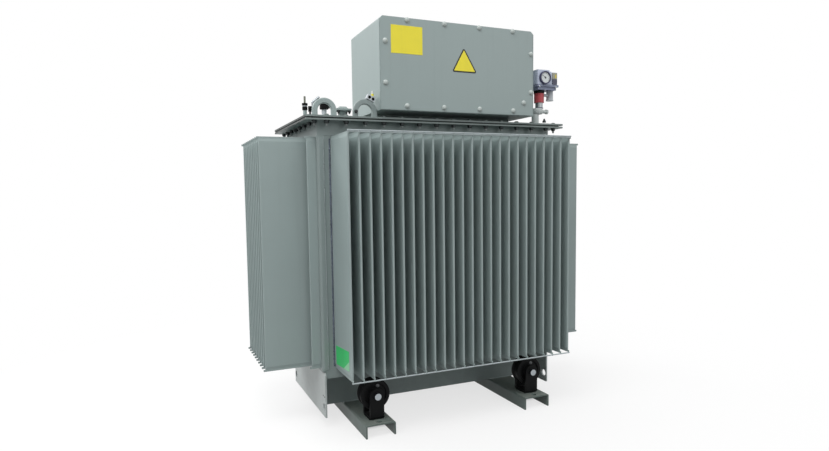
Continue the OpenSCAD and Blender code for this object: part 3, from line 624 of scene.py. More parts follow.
class Scatter:
    """A Geometry Nodes tree that turns points or paths into realised pieces."""

    inputs: dict[str, tuple[str, object]] = {}
    title = "scatter"

    def __init__(self) -> None:
        """Build the tree with its named inputs."""
        sockets = {"Geometry": (GEOMETRY, None), **self.inputs, "Finish": (MATERIAL, None)}
        self.tree = new_group(self.title, "GeometryNodeTree", sockets, {"Geometry": GEOMETRY})
        self.graph = Graph(self.tree)
        self.entry = self.graph.add("NodeGroupInput")
        made = self.graph.out("GeometryNodeRealizeInstances", {"Geometry": self.build()})
        values = {"Geometry": made, "Material": self.value("Finish")}
        self.graph.add("NodeGroupOutput", {"Geometry": self.graph.out("GeometryNodeSetMaterial", values)})

    def build(self) -> Socket:
        """Build the instances and return their geometry socket."""
        raise NotImplementedError

    def value(self, name: str) -> Socket:
        """Return one of the tree's inputs."""
        return self.entry.outputs[name]

    def primitive(self, kind: str, values: dict, lift: object = None, scale: object = None) -> Socket:
        """Add a primitive mesh, raised along Z and scaled.

        Args:
            kind: Type name of the primitive's node.
            values: Its inputs.
            lift: Height that it is raised by.
            scale: Scale vector or socket.

        Returns:
            The moved mesh.
        """
        moved: dict = {"Geometry": self.graph.out(kind, values)}
        if lift is not None:
            moved["Translation"] = self.graph.combine(z=lift)
        if scale is not None:
            moved["Scale"] = scale
        return self.graph.out("GeometryNodeTransform", moved)

    def cylinder(self, vertices: int, radius: Socket, height: Socket, foot: object = 0.0) -> Socket:
        """Add an upright cylinder.

        Args:
            vertices: Number of its sides.
            radius: Its radius.
            height: Its height.
            foot: Height that it stands on.

        Returns:
            The cylinder.
        """
        values = {"Vertices": vertices, "Radius": radius, "Depth": height}
        middle = self.graph.plus(foot, self.graph.times(height, 0.5))
        return self.primitive("GeometryNodeMeshCylinder", values, middle)

    def smooth(self, mesh: Socket) -> Socket:
        """Shade a mesh smooth."""
        return self.graph.out("GeometryNodeSetShadeSmooth", {"Geometry": mesh})

    def chance(self, low: float, high: float) -> Socket:
        """Return a random value for each point, drawn from the tree's seed."""
        values = {2: low, 3: high, "Seed": self.value("Seed")}
        return self.graph.out("FunctionNodeRandomValue", values, 1, data_type="FLOAT")

    def rotation(self, euler: Socket) -> Socket:
        """Turn Euler angles into a rotation."""
        return self.graph.out("FunctionNodeEulerToRotation", {0: euler})

    def join(self, *parts: Socket) -> Socket:
        """Join several geometries into one.

        Args:
            parts: The geometries.

        Returns:
            The joined geometry.
        """
        node = self.graph.add("GeometryNodeJoinGeometry")
        for part in parts:
            self.tree.links.new(part, node.inputs[0])
        return node.outputs[0]

    def instances(self, points: Socket, part: Socket, **values: Socket) -> Socket:
        """Set a part on every point, with a rotation or scale where given."""
        return self.graph.out("GeometryNodeInstanceOnPoints", {"Points": points, "Instance": part, **values})

    def realise(self, points: list[Vector], edges: list[tuple[int, int]], values: dict[str, object]) -> Mesh:
        """Run the tree on points or paths and return a plain mesh.

        Args:
            points: Places in metres.
            edges: Pairs of points that form paths.
            values: Inputs of the tree by name.

        Returns:
            The realised mesh.
        """
        source = bpy.data.meshes.new(self.title)
        source.from_pydata(points, edges, [])
        holder = bpy.data.objects.new(self.title, source)
        bpy.context.scene.collection.objects.link(holder)
        modifier = holder.modifiers.new(self.title, "NODES")
        modifier.node_group = self.tree
        for item in self.tree.interface.items_tree:
            if item.item_type == "SOCKET" and item.in_out == "INPUT" and item.name in values:
                modifier[item.identifier] = values[item.name]
        holder.update_tag()
        graph = bpy.context.evaluated_depsgraph_get()
        mesh = bpy.data.meshes.new_from_object(holder.evaluated_get(graph), depsgraph=graph)
        bpy.data.objects.remove(holder)
        return mesh


class Fasteners(Scatter):
    """Washer, hexagon with a chamfer and a stud end on every point."""

    title = "hexagon_fasteners"
    inputs = {
        "Hexagon Radius": (FLOAT, 0.011),
        "Hexagon Height": (FLOAT, 0.008),
        "Washer Radius": (FLOAT, 0.013),
        "Washer Height": (FLOAT, 0.0025),
        "Stud Radius": (FLOAT, 0.006),
        "Stud Height": (FLOAT, 0.001),
        "Aim": (VECTOR, (0.0, 0.0, 0.0)),
        "Seed": (INTEGER, 3),
    }
    barrel_share = 0.78
    crown_share = 0.8

    def washer(self) -> Socket:
        """Build the washer."""
        return self.cylinder(20, self.value("Washer Radius"), self.value("Washer Height"))

    def build(self) -> Socket:
        """Build the fastener and set it on the points.

        Returns:
            The instances.
        """
        g = self.graph
        radius = self.value("Hexagon Radius")
        height = self.value("Hexagon Height")
        foot = self.value("Washer Height")
        barrel = g.times(height, self.barrel_share)
        crown = {"Vertices": 6, "Radius Top": g.times(radius, self.crown_share), "Radius Bottom": radius,
                 "Depth": g.times(height, 1.0 - self.barrel_share)}
        parts = (
            self.washer(),
            self.cylinder(6, radius, barrel, foot),
            self.primitive("GeometryNodeMeshCone", crown, g.plus(foot, barrel)),
            self.cylinder(12, self.value("Stud Radius"), self.value("Stud Height"), g.plus(foot, height)),
        )
        return self.spread(self.join(*parts))

    def spread(self, part: Socket) -> Socket:
        """Set a part on every point, aimed and turned by chance about its axis.

        Args:
            part: Geometry of one fastener.

        Returns:
            The instances.
        """
        own = self.rotation(self.graph.combine(z=self.chance(0.0, math.tau)))
        aim = self.rotation(self.value("Aim"))
        both = self.graph.out("FunctionNodeRotateRotation", {0: own, 1: aim}, rotation_space="GLOBAL")
        return self.instances(self.value("Geometry"), part, Rotation=both)


class Domes(Fasteners):
    """Dome head on a thin washer on every point."""

    title = "dome_screws"
    inputs = {
        "Dome Radius": (FLOAT, 0.009),
        "Dome Height": (FLOAT, 0.006),
        "Washer Radius": (FLOAT, 0.012),
        "Washer Height": (FLOAT, 0.0015),
        "Socket Radius": (FLOAT, 0.003),
        "Aim": (VECTOR, (0.0, 0.0, 0.0)),
        "Seed": (INTEGER, 5),
    }
    socket_share = 0.12

    def build(self) -> Socket:
        """Build the dome screw and set it on the points.

        Returns:
            The instances.
        """
        g = self.graph
        radius = self.value("Dome Radius")
        height = self.value("Dome Height")
        ball = {"Segments": 16, "Rings": 8, "Radius": 1.0}
        dome = self.primitive("GeometryNodeMeshUVSphere", ball, None, g.combine(radius, radius, height))
        depth = g.times(height, self.socket_share)
        key = {"Vertices": 6, "Radius": self.value("Socket Radius"), "Depth": depth}
        socket = self.primitive("GeometryNodeMeshCylinder", key, height)
        return self.spread(self.join(self.washer(), self.smooth(dome), socket))


class Beads(Scatter):
    """Weld bead of overlapping scales along paths."""

    title = "weld_beads"
    inputs = {
        "Step": (FLOAT, 0.004),
        "Width": (FLOAT, 0.008),
        "Height": (FLOAT, 0.005),
        "Seed": (INTEGER, 7),
    }
    swell = (0.8, 1.15)

    def build(self) -> Socket:
        """Build the scales along the paths.

        Returns:
            The instances.
        """
        g = self.graph
        step = self.value("Step")
        path = g.out("GeometryNodeMeshToCurve", {0: self.value("Geometry")})
        even = g.out("GeometryNodeResampleCurve", {"Curve": path, "Length": step}, mode="LENGTH")
        size = g.combine(step, g.times(self.value("Width"), 0.5), self.value("Height"))
        scale = self.primitive("GeometryNodeMeshIcoSphere", {"Radius": 1.0, "Subdivisions": 2}, None, size)
        tangent = g.out("GeometryNodeInputTangent")
        along = g.out("FunctionNodeAlignRotationToVector", {"Vector": tangent}, axis="X")
        return self.instances(even, self.smooth(scale), Rotation=along, Scale=self.chance(*self.swell))


class Dots(Scatter):
    """Round weld dot on every point."""

    title = "weld_dots"
    inputs = {"Radius": (FLOAT, 0.005), "Seed": (INTEGER, 11)}
    swell = (0.75, 1.1)

    def build(self) -> Socket:
        """Build the dots.

        Returns:
            The instances.
        """
        ball = {"Radius": self.value("Radius"), "Subdivisions": 2}
        dot = self.smooth(self.primitive("GeometryNodeMeshIcoSphere", ball))
        return self.instances(self.value("Geometry"), dot, Scale=self.chance(*self.swell))


class Ticks(Scatter):
    """Scale marks on an arc, as thin bars in the XY plane."""

    title = "gauge_ticks"
    inputs = {
        "Count": (INTEGER, 25),
        "Radius": (FLOAT, 0.02),
        "Length": (FLOAT, 0.003),
        "Width": (FLOAT, 0.0006),
        "Start": (FLOAT, -0.8),
        "Sweep": (FLOAT, 4.7),
    }
    depth = 0.4 * MM

    def build(self) -> Socket:
        """Build the bars on the arc.

        Returns:
            The instances.
        """
        g = self.graph
        count = self.value("Count")
        radius = self.value("Radius")
        line = g.out("GeometryNodeMeshLine", {"Count": count})
        share = g.math("DIVIDE", g.out("GeometryNodeInputIndex"), g.math("SUBTRACT", count, 1.0))
        angle = g.plus(self.value("Start"), g.times(share, self.value("Sweep")))
        place = g.combine(g.times(g.math("COSINE", angle), radius), g.times(g.math("SINE", angle), radius))
        ring = g.out("GeometryNodeSetPosition", {"Geometry": line, "Position": place})
        size = g.combine(self.value("Length"), self.value("Width"), self.depth)
        bar = g.out("GeometryNodeMeshCube", {"Size": size})
        return self.instances(ring, bar, Rotation=self.rotation(g.combine(z=angle)))


class Toward(Enum):
    """Direction that a fastener's head points to, as an Euler turn of +Z."""

    UP = (0.0, 0.0, 0.0)
    DOWN = (math.pi, 0.0, 0.0)
    FRONT = (math.pi / 2, 0.0, 0.0)
    REAR = (-math.pi / 2, 0.0, 0.0)
    LEFT = (0.0, -math.pi / 2, 0.0)
    RIGHT = (0.0, math.pi / 2, 0.0)


@dataclass(frozen=True)
class Sizes:
    """Sizes in millimetres, named for the inputs of a tree."""

    def inputs(self) -> dict[str, object]:
        """Return the tree's inputs in metres by name."""
        return {item.name.replace("_", " ").title(): getattr(self, item.name) * MM for item in fields(self)}


@dataclass(frozen=True)
class HexagonSizes(Sizes):
    """Sizes of a hexagon fastener."""

    hexagon_radius: float
    hexagon_height: float
    washer_radius: float
    washer_height: float
    stud_radius: float
    stud_height: float


@dataclass(frozen=True)
class DomeSizes(Sizes):
    """Sizes of a dome screw."""

    dome_radius: float
    dome_height: float
    washer_radius: float
    washer_height: float
    socket_radius: float


@dataclass(frozen=True)
class BeadSizes(Sizes):
    """Distance between a bead's scales, and its width and height over its path."""

    step: float
    width: float
    height: float


@dataclass
class Workshop:
    """Finishes and trees that every sub-assembly uses."""

    finishes: Finishes
    hexagons: Fasteners = field(default_factory=Fasteners)
    domes: Domes = field(default_factory=Domes)
    beads: Beads = field(default_factory=Beads)
    dots: Dots = field(default_factory=Dots)
    ticks: Ticks = field(default_factory=Ticks)

    def fasten(self, name: str, finish: Finish, sizes: Sizes, rows: dict[Toward, list[Point]],
               slot: str = "fitting_metal", body: str = "tank") -> None:
        """Set fasteners in rows as one piece.

        Args:
            name: Name of the piece.
            finish: Finish of the fasteners.
            sizes: Sizes of a hexagon fastener or a dome screw.
            rows: Places in millimetres by the direction that they point to.
            slot: Material slot.
            body: Body that it rides on.
        """
        tree = self.hexagons if isinstance(sizes, HexagonSizes) else self.domes
        material = self.finishes.get(finish)
        joined = bmesh.new()
        for toward, places in rows.items():
            values = {**sizes.inputs(), "Aim": toward.value, "Finish": material}
            part = tree.realise([metres(p) for p in places], [], values)
            joined.from_mesh(part)
            bpy.data.meshes.remove(part)
        mesh = bpy.data.meshes.new(name)
        joined.to_mesh(mesh)
        joined.free()
        mesh.materials.append(material)
        Pieces.add(name, mesh, body, slot)

    def weld(self, name: str, paths: list[list[Point]], sizes: BeadSizes,
             finish: Finish = Finishes.WELD) -> None:
        """Lay weld beads along paths as one piece on the tank.

        Args:
            name: Name of the piece.
            paths: Points of each path in millimetres.
            sizes: Sizes of the beads.
            finish: Finish of the beads.
        """
        points: list[Vector] = []
        edges: list[tuple[int, int]] = []
        for path in paths:
            first = len(points)
            points += [metres(p) for p in path]
            edges += [(first + i, first + i + 1) for i in range(len(path) - 1)]
        values = {**sizes.inputs(), "Finish": self.finishes.get(finish)}
        Pieces.add(name, self.beads.realise(points, edges, values), "tank", "tank_paint")

    def sheet(self, name: str, finish: Finish, outline: list[Vector], lift: Vector, bevel: float) -> None:
        """Add a thin plate to the tank, with its outline and lift in metres and its bevel in millimetres."""
        shape = Pieces.plate(outline, lift, bevel * MM)
        Pieces.add(name, Pieces.finish(shape, self.finishes.get(finish)), "tank", None)

    def turned(self, name: str, finish: Finish, profile: list[Pair], place: Matrix, steps: int = 40) -> None:
        """Add a turned shape as a piece on the tank.

        Args:
            name: Name of the piece.
            finish: Its finish.
            profile: Radius and height of each ring in millimetres.
            place: Place of the shape.
            steps: Number of faces round it.
        """
        rings = [(radius * MM, height * MM) for radius, height in profile]
        shape = Pieces.turned(rings, place, steps)
        Pieces.add(name, Pieces.finish(shape, self.finishes.get(finish)), "tank", None)


@dataclass
class Tank:
    """Walls, fins and base: paint, weld dots on the bars, weld beads and the bare sticker."""

    shop: Workshop
    fin_pitch: float = 48.0
    long_count: int = 24
    long_nose: float = 535.0
    bar_low: float = 274.0
    bar_high: float = 1318.0
    bar_seal: float = 5.5
    panel_face: float = 290.0
    panel_edge: float = 588.0
    panel_span: Pair = (274.0, 1314.0)
    root_edge: float = 559.0
    root_span: Pair = (290.0, 1300.0)
    skid_place: float = 410.0
    skid_half: float = 66.0
    skid_top: float = 60.0
    base_face: float = 152.0
    plate_face: float = 608.0
    stud_row: Pair = (-287.0, -264.0)
    stud_level: float = 147.0
    stud: DomeSizes = DomeSizes(3.2, 2.0, 3.6, 0.6, 1.0)
    dot_radius: float = 4.0
    corner_bead: BeadSizes = BeadSizes(5.0, 9.0, 2.2)
    root_bead: BeadSizes = BeadSizes(7.0, 7.0, 4.0)
    base_bead: BeadSizes = BeadSizes(4.0, 8.0, 4.0)
    bar_bead: BeadSizes = BeadSizes(5.0, 6.0, 3.2)
    sticker: tuple[Pair, ...] = ((-310.0, 385.0), (-496.0, 400.0), (-497.0, 315.0), (-316.0, 301.0))
    sticker_corner: tuple[Pair, ...] = ((-420.0, 309.0), (-497.0, 315.0), (-496.5, 356.0))
    sticker_face: float = -556.5
    sticker_depth: float = 0.6
    sticker_rim: float = 0.15
    corner_share: float = 0.4

    def coat(self) -> None:
        """Paint the tank's nodes."""
        sides = ("front", "rear", "left", "right")
        coat = self.shop.finishes.coat
        coat(Finishes.PAINT, *[f"{side}_fins" for side in sides])
        # The walls, collar, tray and base walls take the darker copy of the paint as painted shade.
        coat(Finishes.WALL_PAINT, *[f"tank_{side}_wall" for side in sides])
        coat(Finishes.WALL_PAINT, "tank_bottom_plate", "tank_collar", "base_front_wall", "base_rear_wall")
        coat(Finishes.BAR_PAINT, "fin_bars")
        # The end plates take the lighter copy of the paint as painted light.
        coat(Finishes.END_PAINT, "end_plate_left", "end_plate_right")
        # The skids take the dark copy of the paint as painted shade.
        coat(Finishes.PALE_PAINT, "skid_left", "skid_right")

    def fin_reach(self) -> float:
        """Return the distance from the middle to the last long fin."""
        return (self.long_count - 1) * self.fin_pitch / 2

    def weld_dots(self) -> None:
        """Set a weld dot where each fin meets a bar."""
        reach = self.fin_reach()
        points: list[Vector] = []
        for height in (self.bar_low, self.bar_high):
            for x in spaced(-reach, reach, self.long_count):
                points += [metres((x, -self.long_nose, height)), metres((x, self.long_nose, height))]
        values = {"Radius": self.dot_radius * MM, "Finish": self.shop.finishes.get(Finishes.WELD)}
        Pieces.add("fin_weld_dots", self.shop.dots.realise(points, [], values), "tank", "tank_paint")

    def uprights(self, edge: float, span: Pair) -> list[list[Point]]:
        """Return upright paths at both ends of the front and rear walls.

        Args:
            edge: Distance of the paths from the middle.
            span: Lower and upper end.

        Returns:
            The paths in millimetres.
        """
        low, high = span
        return [[(x, y, low), (x, y, high)]
                for x in (-edge, edge) for y in (-self.panel_face, self.panel_face)]

    def weld_beads(self) -> None:
        """Lay the beads at the tank corners and fin roots, along the base and under the upper fin bars."""
        corners = self.uprights(self.panel_edge, self.panel_span)
        self.shop.weld("corner_weld_beads", corners, self.corner_bead)
        roots = self.uprights(self.root_edge, self.root_span)
        self.shop.weld("fin_root_beads", roots, self.root_bead, Finishes.SEAM)
        feet = [[(x - self.skid_half, y, self.skid_top), (x + self.skid_half, y, self.skid_top)]
                for x in (-self.skid_place, self.skid_place) for y in (-self.base_face, self.base_face)]
        self.shop.weld("base_weld_beads", feet, self.base_bead)
        reach = self.fin_reach()
        height = self.bar_high - self.bar_seal
        seals = [[(-reach, y, height), (reach, y, height)] for y in (-self.long_nose, self.long_nose)]
        self.shop.weld("bar_weld_beads", seals, self.bar_bead)

    def plate_studs(self) -> None:
        """Set the two small dark bolt ends over each hauling hole of the front."""
        rows = {}
        for toward, side in ((Toward.LEFT, -1.0), (Toward.RIGHT, 1.0)):
            rows[toward] = [(side * self.plate_face, y, self.stud_level) for y in self.stud_row]
        self.shop.fasten("end_plate_studs", Finishes.NUT, self.stud, rows)

    def stick(self) -> None:
        """Put the bare green sticker with its pale corner on the first fin."""
        lift = Vector((-self.sticker_depth * MM, 0.0, 0.0))
        sheet = [metres((self.sticker_face, y, z)) for y, z in self.sticker]
        self.shop.sheet("green_sticker", Finishes.GREEN, sheet, lift, self.sticker_rim)
        tip = [metres((self.sticker_face - self.sticker_depth, y, z)) for y, z in self.sticker_corner]
        self.shop.sheet("green_sticker_corner", Finishes.CORNER, tip, lift * self.corner_share,
                        self.sticker_rim * self.corner_share)

    def dress(self) -> None:
        """Build and dress everything on the tank."""
        self.coat()
        self.weld_dots()
        self.weld_beads()
        self.plate_studs()
        self.stick()


@dataclass
class Lid:
    """Lid, flange and fittings: paint, the bolt rows and small fasteners."""

    shop: Workshop
    row_x: float = 630.0
    row_y: float = 316.0
    long_bolts: int = 14
    long_end: float = 577.0
    side_bolts: int = 8
    side_end: float = 306.0
    top: float = 1402.0
    under: float = 1381.0
    nut_depth: float = 13.0
    bolt_head: HexagonSizes = HexagonSizes(10.0, 5.0, 12.0, 1.5, 5.0, 0.6)
    bolt_nut: HexagonSizes = HexagonSizes(11.0, 11.0, 13.0, 2.0, 6.0, 1.0)
    bolt_end: HexagonSizes = HexagonSizes(5.6, 9.0, 5.6, 1.0, 4.0, 1.0)
    bolt_room: float = 14.0
    lug: Pair = (580.0, 290.0)
    lug_room: Pair = (70.0, 26.0)
    lug_leg: float = 43.0
    lug_foot: Pair = (12.0, 10.0)
    lug_bead: BeadSizes = BeadSizes(3.5, 7.0, 3.5)
    hatch_inset: float = 8.0
    hatch_lift: float = 34.0
    arch_bolt: Pair = (11.5, 22.0)
    small_nut: HexagonSizes = HexagonSizes(7.6, 8.0, 8.0, 1.0, 4.0, 6.0)
    cap_place: Pair = (567.0, -316.0)
    cap_lift: float = 6.0
    cap_profile: tuple[Pair, ...] = ((0.0, 0.0), (9.0, 0.0), (9.0, 7.0), (5.0, 12.0), (4.0, 18.0),
                                     (0.0, 20.0))
    clamp_holes: tuple[Point, ...] = ((-378.7, -320.8, 1488.8), (-362.4, -320.8, 1481.2))
    clamp_stud: DomeSizes = DomeSizes(6.6, 2.0, 6.8, 0.8, 1.0)
    clamp_tip: Pair = (-361.0, -310.0)
    tip_taper: float = 1.5
    tap_axis: float = -540.0
    sleeve_taper: float = 0.6
    sleeve_steps: int = 28
    lip_inset: float = 3.0
    lip_gap: float = 0.2
    lip_rim: float = 0.3

    def coat(self) -> None:
        """Paint the lid's nodes."""
        coat = self.shop.finishes.coat
        coat(Finishes.LID_PAINT, "lid", "tank_flange")
        coat(Finishes.PAINT, "lifting_lugs", "hatch")
        coat(Finishes.WALL_PAINT, "low_arch")
        coat(Finishes.RUBBER, "lid_gasket")
        coat(Finishes.GLAND, "arch_clamp")
        coat(Finishes.PLASTIC, "filler", "small_plug", "tap_changer")
        coat(Finishes.STEEL, "tap_lever")

    def ring(self, height: float) -> list[Point]:
        """Return the places of the lid bolts.

        Args:
            height: Height of the bolts.

        Returns:
            The places in millimetres.
        """
        places = [(x, y, height) for y in (-self.row_y, self.row_y)
                  for x in spaced(-self.long_end, self.long_end, self.long_bolts)]
        places += [(x, y, height) for x in (-self.row_x, self.row_x)
                   for y in spaced(-self.side_end, self.side_end, self.side_bolts)]
        return places

    def clear(self, places: list[Point]) -> list[Point]:
        """Leave out the places that a lug, arch, pipe or filler stands on.

        Args:
            places: Places in millimetres.

        Returns:
            The places that are free.
        """
        room = self.bolt_room
        taken = [box_mm(name) for name in ("low_arch", "relay_pipe", "filler")]
        lugs = [Vector((-self.lug[0], -self.lug[1])), Vector(self.lug)]
        kept = []
        for x, y, z in places:
            inside = any(low.x - room < x < high.x + room and low.y - room < y < high.y + room
                         for low, high in taken)
            near = any(abs(x - lug.x) < self.lug_room[0] and abs(y - lug.y) < self.lug_room[1]
                       for lug in lugs)
            if not inside and not near:
                kept.append((x, y, z))
        return kept

    def bolt_rows(self) -> None:
        """Set the bolt heads on the lid and the nuts and bolt ends under the flange."""
        fasten = self.shop.fasten
        heads = {Toward.UP: self.clear(self.ring(self.top))}
        fasten("lid_bolt_heads", Finishes.LID_PAINT, self.bolt_head, heads, "tank_paint")
        fasten("lid_bolt_nuts", Finishes.NUT, self.bolt_nut, {Toward.DOWN: self.ring(self.under)})
        ends = {Toward.DOWN: self.ring(self.under - self.nut_depth)}
        fasten("lid_bolt_ends", Finishes.BOLT_END, self.bolt_end, ends)

    def small_bolts(self) -> None:
        """Set the nuts of the hatch and the arch, the cap nut by the relay, and black domes in the clamp's
        holes as painted shade.
        """
        low, high = box_mm("hatch")
        inset = self.hatch_inset
        corners = [(x, y, self.top + self.hatch_lift)
                   for x in (low.x + inset, high.x - inset) for y in (low.y + inset, high.y - inset)]
        arch = box_mm("low_arch")[0]
        leg = (arch.x + self.arch_bolt[0], arch.y, self.top + self.arch_bolt[1])
        rows = {Toward.DOWN: corners, Toward.FRONT: [leg]}
        self.shop.fasten("hatch_nuts", Finishes.NUT, self.small_nut, rows)
        self.turn("relay_cap_nut", Finishes.NUT, self.cap_place, list(self.cap_profile), self.cap_lift)
        # Black domes in the clamp's two holes: painted shade in the holes.
        holes = {Toward.FRONT: list(self.clamp_holes)}
        self.shop.fasten("clamp_hole_shade_domes", Finishes.PLASTIC, self.clamp_stud, holes)

    def turn(self, name: str, finish: Finish, spot: Pair, profile: list[Pair], lift: float = 0.0) -> None:
        """Set an upright turned piece on the lid, with all its sizes in millimetres."""
        place = Matrix.Translation(metres((spot[0], spot[1], self.top + lift)))
        self.shop.turned(name, finish, profile, place, self.sleeve_steps)

    def sleeves(self) -> None:
        """Set the sleeves on the filler and the tap changer's stem, and the two tips on the clamp."""
        filler = sum(box_mm("filler"), Vector((0.0, 0.0, 0.0))) / 2
        tap = sum(box_mm("tap_lever"), Vector((0.0, 0.0, 0.0))) / 2
        stem = (self.tap_axis, tap.y)
        cut = self.sleeve_taper
        for name, finish, spot, radius, low, high in (
            ("filler_foot_sleeve", Finishes.PAINT, (filler.x, filler.y), 8.3, 0.4, 29.6),
            ("filler_waist_band", Finishes.GLAND, (filler.x, filler.y), 9.9, 44.4, 49.6),
            ("filler_rod_sleeve", Finishes.ROD, (filler.x, filler.y), 4.4, 59.4, 89.3),
            ("tap_stem_sleeve", Finishes.GLAND, stem, 11.4, 0.4, 49.6),
        ):
            profile = [(0.0, low), (radius - cut, low), (radius, low + cut), (radius, high - cut),
                       (radius - cut, high), (0.0, high)]
            self.turn(name, finish, spot, profile)
        cut = self.tip_taper
        for name, finish, radius, low, high in (
            ("clamp_tip", Finishes.YELLOW, 5.5, 86.0, 104.0),
            ("clamp_tip_end", Finishes.TIP, 4.6, 103.0, 115.0),
        ):
            profile = [(0.0, low), (radius, low), (radius, high - cut), (radius - cut, high), (0.0, high)]
            self.turn(name, finish, self.clamp_tip, profile)

    def gasket_lip(self) -> None:
        """Set the strip of gasket that fills the gap at the lid's left end."""
        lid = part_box("lid")[0]
        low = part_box("tank_flange")[1].z
        left = lid.x + self.lip_inset * MM
        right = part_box("lid_gasket")[0].x - self.lip_gap * MM
        deep = -lid.y - self.lip_inset * MM
        corners = ((left, -deep), (right, -deep), (right, deep), (left, deep))
        outline = [Vector((x, y, low)) for x, y in corners]
        lift = Vector((0.0, 0.0, lid.z - low))
        self.shop.sheet("gasket_lip", Finishes.RUBBER, outline, lift, self.lip_rim)

    def lug_welds(self) -> None:
        """Lay weld beads round the feet of the lugs."""
        across, deep = self.lug_foot
        turns = ((-1, -1), (1, -1), (1, 1), (-1, 1), (-1, -1))
        paths = []
        for sign in (-1.0, 1.0):
            for foot in (-self.lug_leg, self.lug_leg):
                x = sign * self.lug[0] + foot
                y = sign * self.lug[1]
                paths.append([(x + i * across, y + j * deep, self.top) for i, j in turns])
        self.shop.weld("lug_weld_beads", paths, self.lug_bead)

    def dress(self) -> None:
        """Build and dress everything on the lid."""
        self.coat()
        self.bolt_rows()
        self.small_bolts()
        self.sleeves()
        self.gasket_lip()
        self.lug_welds()


@dataclass
class CableBox:
    """Cable box: paint, cover screws and the two bare plates."""

    shop: Workshop
    screw_top: tuple[float, ...] = (-209.0, -22.0, 162.0, 347.0)
    screw_bottom: tuple[float, ...] = (-213.0, -26.0, 163.0, 351.0)
    screw_left: tuple[float, ...] = (1731.0, 1550.0)
    screw_right: tuple[float, ...] = (1730.0, 1545.0)
    top_row: float = 1829.0
    bottom_row: float = 1452.0
    left_row: float = -316.0
    right_row: float = 454.0
    extra: Pair = (412.0, 1493.0)
    screw: DomeSizes = DomeSizes(12.0, 9.0, 12.5, 1.4, 0.6)
    plate: tuple[Pair, ...] = ((-288.0, 1681.0), (-134.0, 1681.0), (-134.0, 1804.0), (-288.0, 1804.0))
    plate_depth: float = 0.8
    plate_rim: float = 0.25
    triangle: tuple[Pair, ...] = ((16.0, 1618.0), (149.0, 1618.0), (79.0, 1732.0))
    rim: float = 6.0
    rounding: float = 7.0
    least_rounding: float = 2.0
    corner_points: int = 7
    inner_share: float = 0.5
    inner_rim: float = 0.15

    def coat(self) -> None:
        """Paint the box's nodes."""
        self.shop.finishes.coat(Finishes.PAINT, "cable_box_neck", "cable_box_body", "cable_box_cover")

    def front(self) -> float:
        """Return the cover's front plane in millimetres."""
        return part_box("cable_box_cover")[0].y / MM

    def cover_screws(self) -> None:
        """Set the dome screws of the cover."""
        spots = [(x, self.top_row) for x in self.screw_top]
        spots += [(x, self.bottom_row) for x in self.screw_bottom]
        spots += [(self.left_row, z) for z in self.screw_left]
        spots += [(self.right_row, z) for z in self.screw_right]
        spots.append(self.extra)
        y = self.front()
        rows = {Toward.FRONT: [(x, y, z) for x, z in spots]}
        self.shop.fasten("cover_screws", Finishes.SCREW, self.screw, rows)

    def plates(self) -> None:
        """Put the bare yellow plate and the bare rimmed triangle on the cover."""
        y = self.front()
        lift = Vector((0.0, -self.plate_depth * MM, 0.0))
        for name, finish, outline, level, share, bevel in (
            ("bare_yellow_plate", Finishes.YELLOW, self.plate, y, 1.0, self.plate_rim),
            ("triangle_rim", Finishes.DARK_RIM, self.rounded(0.0), y, 1.0, self.plate_rim),
            ("bare_triangle_plate", Finishes.YELLOW, self.rounded(self.rim), y - self.plate_depth,
             self.inner_share, self.inner_rim),
        ):
            self.shop.sheet(name, finish, [metres((x, level, z)) for x, z in outline], lift * share, bevel)

    def rounded(self, inset: float) -> list[Pair]:
        """Return the triangle's outline with round corners.

        Args:
            inset: Distance that the outline is drawn in by.

        Returns:
            Points across and up in millimetres, in order.
        """
        points: list[Pair] = []
        corners = [Vector(corner) for corner in self.triangle]
        radius = max(self.rounding - inset, self.least_rounding)
        for i, corner in enumerate(corners):
            back = (corners[i - 1] - corner).normalized()
            ahead = (corners[(i + 1) % len(corners)] - corner).normalized()
            half = back.angle(ahead) / 2
            centre = corner + (back + ahead).normalized() * ((inset + radius) / math.sin(half))
            start = math.atan2(back.x, -back.y)
            for turn in spaced(start, start + math.pi - 2 * half, self.corner_points):
                points.append((centre.x + radius * math.cos(turn), centre.y + radius * math.sin(turn)))
        return points

    def dress(self) -> None:
        """Build and dress everything on the cable box."""
        self.coat()
        self.cover_screws()
        self.plates()


